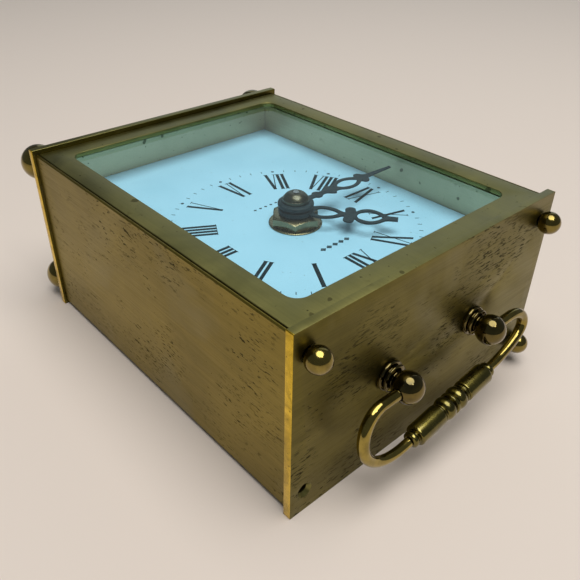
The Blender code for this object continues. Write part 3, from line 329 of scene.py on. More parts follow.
def battery_sleeve():
    """Printed sleeve with one lighter band near the plus end."""
    shade = Shade("battery_sleeve")
    band_start = 12.0 * MM
    band = shade.ramp(shade.along("X"), band_start, band_start + 0.2 * MM)
    scuff = shade.noise(400.0, 3.0)
    colour = shade.mix(band, (0.015, 0.02, 0.04), (0.45, 0.28, 0.10))
    colour = shade.mix(shade.ramp(scuff, 0.5, 0.8, 0.0, 0.3), colour, (0.2, 0.2, 0.2))
    shade.set(Base_Color=colour, Roughness=shade.ramp(scuff, 0.3, 0.7, 0.25, 0.45))
    shade.bump(scuff, 0.01 * MM, 0.4)
    return shade.material


def circuit_mask():
    """Green lacquer over raised traces."""
    shade = Shade("circuit_mask")
    traces = shade.ramp(shade.cells((260.0, 900.0, 260.0)), 0.32, 0.36)
    colour = shade.mix(traces, (0.01, 0.10, 0.035), (0.02, 0.17, 0.06))
    shade.set(Base_Color=colour, Roughness=shade.ramp(traces, 0.0, 1.0, 0.35, 0.5))
    shade.bump(traces, 0.02 * MM, 0.5)
    return shade.material


def clear_glass(name, mirrors):
    """Thin flat glass: light goes straight through, and its face mirrors more at a low angle."""
    shade = Shade(name)
    tree = shade.tree
    output = tree.nodes["Material Output"]
    tree.nodes.remove(shade.shader)
    through = shade.node("ShaderNodeBsdfTransparent", Color=(0.96, 0.99, 0.985))
    if not mirrors:
        tree.links.new(through.outputs[0], output.inputs["Surface"])
        return shade.material
    smear = shade.ramp(shade.noise(90.0, 4.0, 0.6), 0.4, 0.8, 0.02, 0.14)
    mirror = shade.node("ShaderNodeBsdfGlossy", Color=(0.94, 1.0, 0.98), Roughness=smear)
    facing_away = tree.nodes.new("ShaderNodeLayerWeight").outputs["Facing"]
    share = shade.math("ADD", shade.times(shade.math("POWER", facing_away, 5.0), 0.7), 0.03)
    mixer = tree.nodes.new("ShaderNodeMixShader")
    tree.links.new(share, mixer.inputs[0])
    tree.links.new(through.outputs[0], mixer.inputs[1])
    tree.links.new(mirror.outputs[0], mixer.inputs[2])
    tree.links.new(mixer.outputs[0], output.inputs["Surface"])
    return shade.material


MATERIALS = {
    "side": brushed_brass("side_brass", "Y", (0.195, 0.148, 0.026), (0.305, 0.230, 0.042),
                          0.40, 0.60, 0.3),
    "plate": brushed_brass("plate_brass", "X", (0.105, 0.088, 0.018), (0.21, 0.175, 0.040),
                           0.38, 0.565, 0.45, (0.37, 0.61, 0.13)),
    # Plate end edges: partly wear, partly a painted reflection of warm light from the side.
    "edge": edge_brass_with_painted_reflection("edge_brass_with_painted_reflection", (0.50, 0.34, 0.030), (0.82, 0.56, 0.055)),
    "frame": satin_brass("frame_brass", (0.178, 0.162, 0.052), (0.275, 0.248, 0.082), 0.38),
    "inner": satin_brass("inner_brass", (0.52, 0.45, 0.28), (0.66, 0.57, 0.37), 0.46),
    "cover": satin_brass("cover_brass", (0.30, 0.26, 0.12), (0.44, 0.38, 0.18), 0.38, "X"),
    "ball": polished_brass("ball_brass", (0.14, 0.102, 0.020), (0.29, 0.22, 0.044), 0.12, 0.7),
    "post": polished_brass("post_brass", (0.064, 0.050, 0.014), (0.155, 0.112, 0.022),
                           0.07, 0.8, (0.6, 0.1, 0.2)),
    "arm": polished_brass("arm_brass", (0.20, 0.150, 0.028), (0.37, 0.28, 0.055),
                          0.08, 0.5, (0.4, 0.2, 0.7)),
    "grip": polished_brass("grip_brass", (0.095, 0.080, 0.018), (0.22, 0.18, 0.040),
                           0.20, 0.7, (0.3, 0.7, 0.5)),
    "nut": polished_brass("nut_brass", (0.22, 0.185, 0.10), (0.27, 0.23, 0.125),
                          0.26, 0.3, (0.1, 0.8, 0.3)),
    "dome": polished_brass("dome_brass", (0.070, 0.066, 0.042), (0.14, 0.125, 0.075),
                           0.28, 0.4, (0.5, 0.3, 0.1)),
    "wheel": polished_brass("wheel_brass", (0.50, 0.36, 0.12), (0.68, 0.50, 0.19),
                            0.20, 0.3, (0.9, 0.5, 0.1)),
    "dial": dial_paint(),
    "numeral": ink("numeral_ink", (0.002, 0.012, 0.017), 0.06),
    "track": ink("track_ink", (0.02, 0.045, 0.06), 0.4),
    "hand": hand_paint(),
    "glass": clear_glass("clear_glass", True),
    "glass_back": clear_glass("clear_glass_back", False),
    "black": plain_stock("black_moulding", (0.012, 0.012, 0.012), (0.028, 0.028, 0.03), 0.5, 0.0),
    "white": plain_stock("white_moulding", (0.62, 0.60, 0.55), (0.76, 0.74, 0.69), 0.42, 0.0),
    "steel": plain_stock("bright_steel", (0.40, 0.40, 0.41), (0.60, 0.60, 0.61), 0.26, 1.0, 1500.0, 0.004),
    "copper": copper_wire(),
    "battery": battery_sleeve(),
    "circuit": circuit_mask(),
}


# ---------------------------------------------------------------- shapes

# Points nearer than these lengths, in metres, are at the same height or are one point.
TOUCHING = 1e-7
WELD = 1e-6


def finish_piece(item, materials, body, replaced, sharp=35):
    """Give a piece its materials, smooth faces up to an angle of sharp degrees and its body."""
    mesh = item.data
    for material in materials:
        mesh.materials.append(MATERIALS[material])
    mesh.shade_smooth()
    mesh.set_sharp_from_angle(angle=math.radians(sharp))
    bpy.context.scene.collection.objects.link(item)
    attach(item, body)
    if replaced:
        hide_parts(*replaced)
    return item


def lathe(profile, segments):
    """Mesh of a profile of (radius, height) points, top to bottom, turned about Z and closed at both ends."""
    shape = bmesh.new()
    rings = []
    for radius, height in profile:
        if radius < TOUCHING:
            rings.append([shape.verts.new((0.0, 0.0, height))])
            continue
        ring = []
        for index in range(segments):
            angle = 2 * math.pi * index / segments
            ring.append(shape.verts.new((radius * math.cos(angle), radius * math.sin(angle), height)))
        rings.append(ring)
    for upper, lower in zip(rings, rings[1:]):
        for index in range(segments):
            after = (index + 1) % segments
            corners = [upper[index % len(upper)], lower[index % len(lower)],
                       lower[after % len(lower)], upper[after % len(upper)]]
            unique = list(dict.fromkeys(corners))
            if len(unique) > 2:
                shape.faces.new(unique)
    for ring in (rings[0], rings[-1]):
        if len(ring) > 1:
            shape.faces.new(ring)
    bmesh.ops.recalc_face_normals(shape, faces=shape.faces)
    return shape


def to_object(shape, name, matrix=None):
    if matrix is not None:
        bmesh.ops.transform(shape, matrix=matrix, verts=shape.verts)
    mesh = bpy.data.meshes.new(name)
    shape.to_mesh(mesh)
    shape.free()
    return bpy.data.objects.new(name, mesh)


def turned(profile, segments, name, matrix=None):
    """Piece turned from a profile in millimetres, placed by a matrix."""
    points = [(radius * MM, height * MM) for radius, height in profile]
    return to_object(lathe(points, segments), name, matrix)


def softened(points, radius, steps=4):
    """Replace each inner corner of a profile with a small curve, which takes less than half of each side."""
    result = [points[0]]
    largest_share = 0.45
    for before, corner, after in zip(points, points[1:], points[2:]):
        before, corner, after = Vector(before), Vector(corner), Vector(after)
        reach = min(radius, (before - corner).length * largest_share, (after - corner).length * largest_share)
        start = corner + (before - corner).normalized() * reach
        end = corner + (after - corner).normalized() * reach
        for step in range(steps + 1):
            t = step / steps
            result.append(tuple(start * (1 - t) ** 2 + corner * (2 * t * (1 - t)) + end * t ** 2))
    result.append(points[-1])
    return result


def rod(radius, half_length):
    """Profile of a plain round bar."""
    return [(0.0, half_length), (radius, half_length), (radius, -half_length), (0.0, -half_length)]


def arc(radius, centre, start, end, steps):
    """Outline of a ball between two polar angles, in degrees from its top."""
    angles = [math.radians(start + (end - start) * step / steps) for step in range(steps + 1)]
    return [(radius * math.sin(angle), centre + radius * math.cos(angle)) for angle in angles]


# Turns that bring +Z to face along another axis.
TURNS = {
    "+Y": Matrix.Rotation(-math.pi / 2, 4, "X"),
    "-Y": Matrix.Rotation(math.pi / 2, 4, "X"),
    "+X": Matrix.Rotation(math.pi / 2, 4, "Y"),
    "-Z": Matrix.Rotation(math.pi, 4, "X"),
}


def facing(axis, x, y, z):
    """Place at a point, with +Z turned to face along an axis."""
    return Matrix.Translation((x, y, z)) @ TURNS[axis]


def outline_object(name, outlines, thickness, bevel=0.0, steps=2):
    """Extruded flat outline, the first outside and the rest holes, with rounded edges, centred on z 0."""
    curve = bpy.data.curves.new(name, "CURVE")
    curve.dimensions = "2D"
    curve.fill_mode = "BOTH"
    curve.extrude = thickness / 2
    for outline in outlines:
        spline = curve.splines.new("POLY")
        spline.points.add(len(outline) - 1)
        for point, (x, y) in zip(spline.points, outline):
            point.co = (x, y, 0.0, 1.0)
        spline.use_cyclic_u = True
    item = bpy.data.objects.new(name, curve)
    bpy.context.scene.collection.objects.link(item)
    bpy.context.view_layer.update()
    mesh = bpy.data.meshes.new_from_object(item.evaluated_get(bpy.context.evaluated_depsgraph_get()))
    bpy.data.objects.remove(item, do_unlink=True)
    shape = bmesh.new()
    shape.from_mesh(mesh)
    bmesh.ops.remove_doubles(shape, verts=shape.verts, dist=WELD)
    bmesh.ops.dissolve_limit(shape, angle_limit=math.radians(0.5), verts=shape.verts, edges=shape.edges)
    bmesh.ops.recalc_face_normals(shape, faces=shape.faces)
    if bevel:
        rims = [edge for edge in shape.edges if edge.is_manifold
                and edge.calc_face_angle() > math.radians(60)
                and abs(edge.verts[0].co.z - edge.verts[1].co.z) < TOUCHING]
        bmesh.ops.bevel(shape, geom=rims, offset=bevel, offset_type="OFFSET", segments=steps, profile=0.5,
                        affect="EDGES", clamp_overlap=True)
    mesh.materials.clear()
    shape.to_mesh(mesh)
    shape.free()
    mesh.name = name
    return bpy.data.objects.new(name, mesh)


def move(item, matrix):
    item.data.transform(matrix)
    return item


def flat_sheet(name, low, high, corner, holes, bevel, steps):
    """Sheet between two corners of a box that is centred on the Z axis, with its edges softened."""
    outline = rectangle((high.x - low.x) / 2, (high.y - low.y) / 2, corner, 3)
    item = outline_object(name, [outline, *holes], high.z - low.z, bevel, steps)
    return move(item, Matrix.Translation((0.0, 0.0, (high.z + low.z) / 2)))


def circle(radius, segments, centre=(0.0, 0.0)):
    angles = [2 * math.pi * index / segments for index in range(segments)]
    return [(centre[0] + radius * math.cos(angle), centre[1] + radius * math.sin(angle)) for angle in angles]


def rectangle(half_width, half_height, corner, steps, centre=(0.0, 0.0)):
    """Outline of a rectangle with rounded corners, each of so many steps."""
    points = []
    for quarter, (sx, sy) in enumerate(((1, 1), (-1, 1), (-1, -1), (1, -1))):
        for step in range(steps + 1):
            angle = math.radians(90 * (quarter + step / steps))
            x = centre[0] + sx * (half_width - corner) + corner * math.cos(angle)
            y = centre[1] + sy * (half_height - corner) + corner * math.sin(angle)
            points.append((x, y))
    return points


def smooth_line(points, steps):
    """Points along a Catmull-Rom curve through the given points, ends included."""
    padded = [points[0], *points, points[-1]]
    result = []
    for before, start, end, after in zip(padded, padded[1:], padded[2:], padded[3:]):
        for step in range(steps):
            t = step / steps
            value = []
            for a, b, c, d in zip(before, start, end, after):
                value.append(0.5 * (2 * b + (c - a) * t + (2 * a - 5 * b + 4 * c - d) * t * t
                                    + (3 * b - a - 3 * c + d) * t ** 3))
            result.append(tuple(value))
    result.append(points[-1])
    return result


def cut_with(item, cutter):
    """Take one closed shape out of another for good."""
    scene = bpy.context.scene.collection.objects
    scene.link(item)
    scene.link(cutter)
    modifier = item.modifiers.new("cut", "BOOLEAN")
    modifier.operation = "DIFFERENCE"
    modifier.object = cutter
    modifier.solver = "EXACT"
    bpy.context.view_layer.update()
    mesh = bpy.data.meshes.new_from_object(item.evaluated_get(bpy.context.evaluated_depsgraph_get()))
    item.modifiers.clear()
    scene.unlink(item)
    item.data = mesh
    bpy.data.objects.remove(cutter, do_unlink=True)
    return item


def dress_rim(plate, half_width):
    """Bright material on a plate's end edges, the frame's duller one on its long edges and in its
    countersinks.

    The end edges are partly worn and partly a painted reflection of warm light from the side; the duller
    brass on the long edges is painted shade on what is the same brass. Faces are told apart by how their
    normals lean; the two broad faces keep the first material.
    """
    wear_and_painted_reflection, dull = 1, 2
    for face in plate.data.polygons:
        across, along, up = (abs(part) for part in face.normal)
        if along > 0.9:
            continue
        # End edges: bright brass, partly wear and partly a painted reflection of warm light from the side.
        if abs(face.center.x) > half_width - 0.3 * MM:
            face.material_index = wear_and_painted_reflection
        # Long edges: the frame's duller brass, as painted shade on the same brass.
        elif across < 0.1 and up > 0.3 and abs(face.center.x) < 1 * MM:
            face.material_index = dull
        elif 0.5 < along < 0.8:
            face.material_index = dull


# ---------------------------------------------------------------- case

def make_plates():
    """Plates with softened edges; the top one is countersunk for its ball screws and bored for the posts."""
    half_width = (TOP_HIGH.x - TOP_LOW.x) / 2
    half_depth = (TOP_HIGH.z - TOP_LOW.z) / 2
    middle_z = (TOP_HIGH.z + TOP_LOW.z) / 2
    screw_hole, post_hole = 1.15 * MM, 1.6 * MM
    countersink = [(0.0, 2.0), (3.9, 2.0), (1.1, -0.8), (0.0, -0.8)]
    for node, low, high in (("top_plate", TOP_LOW, TOP_HIGH), ("bottom_plate", BOTTOM_LOW, BOTTOM_HIGH)):
        outlines = [rectangle(half_width, half_depth, 0.25 * MM, 3)]
        outlines += [circle(screw_hole, 40, (x, middle_z - z)) for x, z in SCREW_PLACES]
        if node == "top_plate":
            outlines += [circle(post_hole, 32, (x, 0.0)) for x in (POST_X, -POST_X)]
        plate = outline_object(f"{node}_brass", outlines, high.y - low.y, 0.22 * MM, 3)
        plate = move(plate, facing("+Y", 0.0, (high.y + low.y) / 2, middle_z))
        if node == "top_plate":
            for x, z in SCREW_PLACES:
                place = facing("+Y", x, high.y, z)
                plate = cut_with(plate, turned(countersink, 48, "countersink", place))
        # The end edges get brass with a painted reflection, the long edges the frame's duller brass as
        # painted shade.
        plate = finish_piece(plate, ["plate", "edge", "frame"], "case", [node], 30)
        dress_rim(plate, half_width)


def make_panels():
    """Side walls, bored for the screws, with a thin outer lip at the front and back."""
    lip_width, lip_depth, corner = 0.5 * MM, 1.25 * MM, 0.3 * MM
    bore_radius, bore_half = 1.1, 20.0
    for node, side in (("right_side_panel", 1), ("left_side_panel", -1)):
        low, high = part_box(node)
        outer = max(abs(low.x), abs(high.x))
        inner = min(abs(low.x), abs(high.x))
        lip = outer - lip_width
        back, front = low.z, high.z
        section = [(inner, back + lip_depth), (lip, back + lip_depth), (lip, back), (outer - corner, back),
                   (outer, back + corner), (outer, front - corner), (outer - corner, front), (lip, front),
                   (lip, front - lip_depth), (inner, front - lip_depth)]
        section = [(side * x, z) for x, z in section]
        if side < 0:
            section.reverse()
        panel = outline_object(f"{node}_brass", [section], high.y - low.y)
        move(panel, Matrix.Rotation(math.pi / 2, 4, "X"))
        for z in (SCREW_FRONT_Z, SCREW_BACK_Z):
            place = facing("+Y", side * SCREW_X, high.y + 10 * MM, z)
            panel = cut_with(panel, turned(rod(bore_radius, bore_half), 32, "screw_bore", place))
        panel = finish_piece(panel, ["side", "inner"], "case", [node], 25)
        for face in panel.data.polygons:
            face.material_index = 1 if face.normal.x * side < -0.9 else 0


def make_frame():
    """Front frame with a round-cornered window."""
    low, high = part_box("front_frame")
    window = rectangle(32.6 * MM, 42.0 * MM, 3.0 * MM, 12)
    item = flat_sheet("front_frame_sheet", low, high, 0.2 * MM, [window], 0.16 * MM, 3)
    finish_piece(item, ["frame"], "case", ["front_frame"], 30)


def make_glass():
    """Flat pane with ground edges; only its front face carries the reflections."""
    low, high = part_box("glass")
    item = flat_sheet("glass_pane", low, high, 0.4 * MM, [], 0.08 * MM, 1)
    pane = finish_piece(item, ["glass_back", "glass"], "case", ["glass"], 30)
    for face in pane.data.polygons:
        face.material_index = 1 if face.normal.z > 0.99 else 0


def make_cover():
    """Back cover with its opening, screw holes and slotted screws."""
    low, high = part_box("back_cover")
    places = [middle(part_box(f"back_cover_screw_{index}"))[:2] for index in range(1, 5)]
    holes = [rectangle(31.0 * MM, 33.0 * MM, 2.0 * MM, 10, (0.0, -1.0 * MM))]
    holes += [circle(1.0 * MM, 32, place) for place in places]
    item = flat_sheet("back_cover_sheet", low, high, 0.2 * MM, holes, 0.16 * MM, 3)
    finish_piece(item, ["cover"], "case", ["back_cover"], 30)
    for index, (x, y) in enumerate(places, 1):
        profile = arc(4.2, -3.7, 0, 20, 8)
        profile += [(1.68, 0.0), (1.68, -0.05), (0.75, -0.05), (0.75, -5.5), (0.0, -5.5)]
        place = facing("-Z", x, y, low.z - 0.15 * MM)
        screw = turned(profile, 40, f"cover_screw_{index}", place)
        slot = bmesh.new()
        bmesh.ops.create_cube(slot, size=1.0)
        turn = Matrix.Rotation(math.radians(35 * index), 4, "Z")
        size = Matrix.Diagonal((4 * MM, 0.4 * MM, 0.6 * MM, 1))
        place = Matrix.Translation((x, y, low.z - 0.7 * MM)) @ turn @ size
        screw = cut_with(screw, to_object(slot, "slot", place))
        finish_piece(screw, ["steel"], "case", [f"back_cover_screw_{index}"])


def make_ball_screws():
    """Round screw heads that sink a little into their countersinks, in three of the four corners."""
    for node in ("ball_screw_front_right", "ball_screw_front_left", "ball_screw_back_left"):
        x, _, z = middle(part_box(node))
        profile = arc(2.6, 2.1, 0, 148, 30) + [(1.1, -0.25), (0.95, -0.4), (0.95, -9.5), (0.0, -9.5)]
        place = facing("+Y", x, PLATE_TOP, z)
        item = turned(profile, 56, f"{node}_head", place)
        finish_piece(item, ["ball"], "case", [node])


def make_feet():
    """Large balls on short necks, one under each corner of the bottom plate."""
    neck = softened([(2.43, 0.8), (2.43, 0.12), (1.1, 0.1), (0.95, -0.2), (0.95, -9.5), (0.0, -9.5)], 0.15)
    for node in ("ball_foot_front_right", "ball_foot_front_left",
                 "ball_foot_back_right", "ball_foot_back_left"):
        x, _, z = middle(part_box(node))
        profile = arc(4.57, 4.7, 0, 148, 36) + neck
        place = facing("-Y", x, BOTTOM_LOW.y, z)
        item = turned(profile, 64, f"{node}_ball", place)
        finish_piece(item, ["ball"], "case", [node])


# ---------------------------------------------------------------- handle

def make_posts():
    """Ball on a two-ring spool, with the socket for the handle on its outer side."""
    spool = softened([(2.0, 2.3), (2.9, 2.2), (3.2, 1.85), (3.0, 1.5), (2.5, 1.35), (2.5, 1.15), (3.3, 1.0),
                      (3.5, 0.65), (3.45, 0.12), (1.45, 0.1), (1.4, -0.1), (1.4, -5.1)], 0.16, 3)
    socket_start, socket_half, socket_radius = 12.1, 3.2, 1.39
    for node, side in (("handle_post_right", 1), ("handle_post_left", -1)):
        profile = arc(3.45, HINGE_HEIGHT, 0, 145, 36) + spool + [(0.0, -5.1)]
        place = facing("+Y", side * POST_X, PLATE_TOP, HANDLE_Z)
        post = turned(profile, 64, f"{node}_spool", place)
        middle_x = side * (socket_start + socket_half) * MM
        place = facing("+X", middle_x, HANDLE_Y, HANDLE_Z)
        post = cut_with(post, turned(rod(socket_radius, socket_half), 32, "socket", place))
        finish_piece(post, ["post"], "case", [node])


def handle_matrix():
    """Frame of the swinging handle: origin on its hinge axis, -Z towards the grip."""
    return Matrix.Translation((0.0, HANDLE_Y, HANDLE_Z)) @ Matrix.Rotation(HANDLE_ANGLE, 4, "X")


# From the hinge down to the grip in mm, and how much the handle's plane is sheared, as a slope.
BAIL_DROP = 11.9
BAIL_SKEW = 0.125


def bow_points(side):
    """Centre line of one arm: two quarter arcs, sheared so that the grip hangs askew; numbers are in mm."""
    wire_end, straight_end, grip_end = 12.4, 17.0, 14.2
    upper_x, lower_x, widest, widest_drop = 21.5, 15.0, 27.3, 5.3
    points = [(wire_end, 0.0), (straight_end, 0.0)]
    for step in range(13):
        angle = math.radians(90 * step / 12)
        points.append((upper_x + (widest - upper_x) * math.sin(angle), widest_drop * (1 - math.cos(angle))))
    for step in range(1, 15):
        angle = math.radians(90 * step / 14)
        points.append((lower_x + (widest - lower_x) * math.cos(angle),
                       widest_drop + (BAIL_DROP - widest_drop) * math.sin(angle)))
    points.append((grip_end, BAIL_DROP))
    return [Vector((side * x * MM, 0.0, -drop * (1 + side * BAIL_SKEW * x / BAIL_DROP) * MM))
            for x, drop in smooth_line(points, 3)]


def bow_radius(share):
    """Radius along an arm, by share of its length: fullest in the bow, thinner towards the grip."""
    return (1.20 + 0.13 * math.sin(math.pi * min(1.0, share * 1.25)) - 0.12 * share) * MM


def tube(path, radii):
    """Round bar along a path that stays in the XZ plane, closed at both ends."""
    segments = 28
    sideways = Vector((0.0, 1.0, 0.0))
    shape = bmesh.new()
    rings = []
    for index, point in enumerate(path):
        before = path[max(0, index - 1)]
        after = path[min(len(path) - 1, index + 1)]
        tangent = (after - before).normalized()
        across = sideways.cross(tangent).normalized()
        ring = []
        for step in range(segments):
            angle = 2 * math.pi * step / segments
            offset = across * math.cos(angle) + sideways * math.sin(angle)
            ring.append(shape.verts.new(point + offset * radii[index]))
        rings.append(ring)
    for first, second in zip(rings, rings[1:]):
        for step in range(segments):
            after = (step + 1) % segments
            shape.faces.new((first[step], first[after], second[after], second[step]))
    shape.faces.new(rings[0])
    shape.faces.new(rings[-1])
    bmesh.ops.recalc_face_normals(shape, faces=shape.faces)
    return shape


def make_handle():
    """Two bent arms and the turned grip between them, with a bead on each side of its middle disc."""
    for node, side in (("handle_arm_right", 1), ("handle_arm_left", -1)):
        path = bow_points(side)
        radii = [bow_radius(index / len(path)) for index in range(len(path))]
        item = to_object(tube(path, radii), f"{node}_wire", handle_matrix())
        finish_piece(item, ["arm"], "handle", [node], 50)
    half = [(0.0, 14.0), (1.2, 14.0), (1.75, 13.75), (1.85, 13.2), (1.75, 12.75), (1.45, 12.5), (1.5, 12.3),
            (2.3, 12.15), (2.42, 11.8), (2.42, 4.55), (2.3, 4.3), (1.95, 4.2), (1.95, 4.0), (2.25, 3.85),
            (2.25, 3.6), (1.85, 3.4)]
    bead_foot, bead_height, bead_middle, bead_half = 1.85, 0.77, 2.0, 1.3
    bead = []
    for turn in range(15, 180, 15):
        angle = math.radians(turn)
        bead.append((bead_foot + bead_height * math.sin(angle), bead_middle + bead_half * math.cos(angle)))
    disc = softened([(1.85, 0.6), (2.1, 0.5), (2.5, 0.35), (2.5, 0.0)], 0.1, 3)
    upper = softened(half, 0.14, 3) + bead + disc
    lower = [(radius, -height) for radius, height in reversed(upper[:-1])]
    skew = Matrix.Rotation(math.atan(BAIL_SKEW), 4, "Y")
    place = handle_matrix() @ Matrix.Translation((0.0, 0.0, -BAIL_DROP * MM)) @ skew @ TURNS["+X"]
    item = turned(upper + lower, 56, "handle_grip_turned", place)
    finish_piece(item, ["grip"], "handle", ["handle_grip"])


# ---------------------------------------------------------------- dial and hands

def at_dial(height=0.0, turn=0.0):
    """Place at the dial's centre, height metres above it, turned about its axis."""
    return Matrix.Translation((0.0, CENTRE_Y, DIAL_Z + height)) @ Matrix.Rotation(turn, 4, "Z")


def bar(shape, start, end, width):
    """A printed stroke between two points, as a thin plate a little above the dial."""
    start, end = Vector(start), Vector(end)
    across = Vector((-(end - start).y, (end - start).x)).normalized()
    corners = [start + across * width / 2, start - across * width / 2,
               end - across * width / 2, end + across * width / 2]
    plate(shape, corners)


# Bottom and top of the print, in mm above the dial.
INK_LOW = 0.012
INK_HIGH = 0.012 + 0.02


def plate(shape, corners):
    """Thin raised print with the given outline, in mm."""
    lower = [shape.verts.new((x, y, INK_LOW)) for x, y in corners]
    upper = [shape.verts.new((x, y, INK_HIGH)) for x, y in corners]
    shape.faces.new(lower)
    shape.faces.new(upper)
    for index in range(len(corners)):
        after = (index + 1) % len(corners)
        shape.faces.new((lower[index], lower[after], upper[after], upper[index]))


# Sizes of the print in mm: places are distances from the dial's centre.
NUMERALS = ("XII", "I", "II", "III", "IIII", "V", "VI", "VII", "VIII", "IX", "X", "XI")
LETTER_WIDTHS = {"I": 1.32, "V": 3.0, "X": 3.5}
NUMERAL_INNER = 19.1
NUMERAL_OUTER = 28.3
THICK_STROKE = 0.85
LONE_STROKE = 1.0
THIN_STROKE = 0.25
SERIF_STROKE = 0.16
TICK_INNER = 29.75
TICK_OUTER = 30.75
TICK_WIDTH = 0.2
DOT_PLACE = 30.2
DOT_RADIUS = 0.42


def draw_numeral(shape, text):
    """One Roman numeral with its feet towards the dial's centre, in mm, before it is turned to its hour."""
    low, high = NUMERAL_INNER, NUMERAL_OUTER
    thick = LONE_STROKE if text == "I" else THICK_STROKE
    x = -sum(LETTER_WIDTHS[letter] for letter in text) / 2
    for letter in text:
        width = LETTER_WIDTHS[letter]
        centre = x + width / 2
        if letter == "I":
            bar(shape, (centre, low), (centre, high), thick)
            for end in (low, high):
                bar(shape, (centre - 0.6, end), (centre + 0.6, end), SERIF_STROKE)
        elif letter == "V":
            bar(shape, (x + 0.45, high), (centre + 0.1, low), thick)
            bar(shape, (x + width - 0.3, high), (centre + 0.2, low), THIN_STROKE)
            bar(shape, (x - 0.1, high), (x + 1.0, high), SERIF_STROKE)
            bar(shape, (x + width - 0.8, high), (x + width + 0.2, high), SERIF_STROKE)
        else:
            bar(shape, (x + 0.5, high), (x + width - 0.5, low), thick)
            bar(shape, (x + width - 0.4, high), (x + 0.4, low), THIN_STROKE)
            for end in (low, high):
                bar(shape, (x + 0.05, end), (x + 0.95, end), SERIF_STROKE)
                bar(shape, (x + width - 0.95, end), (x + width - 0.05, end), SERIF_STROKE)
        x += width


def make_dial():
    """Painted sheet with raised ink for the numerals, the minute track and two small ornaments."""
    dress_node("dial", "dial")
    for hour, text in enumerate(NUMERALS):
        shape = bmesh.new()
        draw_numeral(shape, text)
        add_print(shape, f"numeral_{hour or 12}", "numeral", -math.radians(30 * hour))
    shape = bmesh.new()
    for minute in range(60):
        angle = math.radians(6 * minute)
        direction = Vector((math.sin(angle), math.cos(angle)))
        if minute % 5:
            bar(shape, direction * TICK_INNER, direction * TICK_OUTER, TICK_WIDTH)
        else:
            centre = direction * DOT_PLACE
            plate(shape, [(centre.x + x, centre.y + y) for x, y in circle(DOT_RADIUS, 20)])
    ornament_row(shape, 13.6, 1.9, 0.85, 0.75)
    ornament_row(shape, -11.2, 1.7, 0.5, 0.4)
    add_print(shape, "minute_track", "track")


def add_print(shape, name, material, turn=0.0):
    """Add print drawn in mm round the dial's centre, turned about it."""
    bmesh.ops.recalc_face_normals(shape, faces=shape.faces)
    item = to_object(shape, name, at_dial(0.0, turn) @ Matrix.Scale(MM, 4))
    finish_piece(item, [material], "case", None)


def ornament_row(shape, y, pitch, half_width, half_height):
    """A row of five small lozenges across the dial, in mm."""
    for index in range(5):
        x = (index - 2) * pitch
        plate(shape, [(x - half_width, y), (x, y - half_height),
                      (x + half_width, y), (x, y + half_height)])


def mirrored(half):
    """Closed outline from half of it, as (distance, half width) from the hand's centre outwards."""
    return [(width, along) for along, width in half] + [(-width, along) for along, width in reversed(half)]


def leaf_outline(half):
    """Closed outline of a leaf-shaped hole, from half of it."""
    curved = smooth_line(half, 6)
    side = [(width, along) for along, width in curved]
    return side + [(-x, y) for x, y in reversed(side[1:-1])]


def hour_outlines():
    """Two open leaves with a pair of round lobes between them, in mm."""
    outer = [(3.2, 1.7), (4.4, 2.5), (6.5, 3.0), (9.2, 2.35), (11.3, 0.95), (11.9, 1.0)]
    lobe_radius = 1.35
    turns = [math.radians(turn) for turn in range(205, 25, -12)]
    lobe = [(13.0 + lobe_radius * math.cos(turn), 2.35 + lobe_radius * math.sin(turn)) for turn in turns]
    tail = [(14.4, 1.75), (15.6, 3.0), (17.6, 3.55), (19.8, 2.75), (21.4, 1.35), (22.3, 0.95), (24.4, 0.85)]
    leaves = [
        [(4.4, 0.0), (5.0, 1.35), (6.6, 2.0), (9.0, 1.35), (10.6, 0.0)],
        [(14.7, 0.0), (15.3, 1.55), (17.6, 2.5), (19.6, 1.7), (21.0, 0.0)],
    ]
    whole = mirrored(smooth_line(outer, 6) + lobe + smooth_line(tail, 6))
    return [whole] + [leaf_outline(leaf) for leaf in leaves]


def minute_outlines():
    """Knobs and scrolls before one open leaf, a second pair of scrolls and a long thin point, in mm."""
    outer = [(3.6, 1.0), (5.6, 0.8), (6.4, 1.35), (7.4, 1.4), (8.4, 0.8), (9.6, 0.9), (10.6, 1.75),
             (11.5, 2.2), (12.3, 1.5), (13.4, 1.45), (15.4, 2.4), (17.6, 2.65), (19.8, 2.1),
             (21.2, 1.4), (21.9, 2.35), (23.1, 2.3), (24.0, 1.15), (25.6, 0.75), (33.4, 0.42)]
    leaf = [(13.9, 0.0), (15.0, 1.15), (17.2, 1.75), (19.2, 1.25), (20.8, 0.0)]
    return [mirrored(smooth_line(outer, 6)), leaf_outline(leaf)]


def make_hands():
    """Pierced blades with softened edges on turned bosses.

    Each row has a hand's outlines, its angle clockwise from XII in degrees, its blade's lower and upper face
    and its boss's radius, lower and upper face, in mm above the dial.
    """
    hands = (("hour_hand", hour_outlines(), 322.5, 3.3, 3.75, 4.2, 2.85, 4.3),
             ("minute_hand", minute_outlines(), 270.8, 5.1, 5.5, 4.35, 4.65, 5.85))
    for node, outlines, degrees, low, high, radius, boss_low, boss_high in hands:
        outlines = [[(x * MM, y * MM) for x, y in outline] for outline in outlines]
        blade = outline_object(f"{node}_blade", outlines, (high - low) * MM, 0.09 * MM, 2)
        move(blade, at_dial((high + low) / 2 * MM, -math.radians(degrees)))
        finish_piece(blade, ["hand"], node, [node], 40)
        profile = softened([(0.0, boss_high), (radius - 0.5, boss_high), (radius, boss_high - 0.25),
                            (radius, boss_low + 0.2), (radius - 0.3, boss_low), (0.0, boss_low)], 0.2, 4)
        boss = turned(profile, 64, f"{node}_boss", at_dial())
        finish_piece(boss, ["hand"], node, [node])


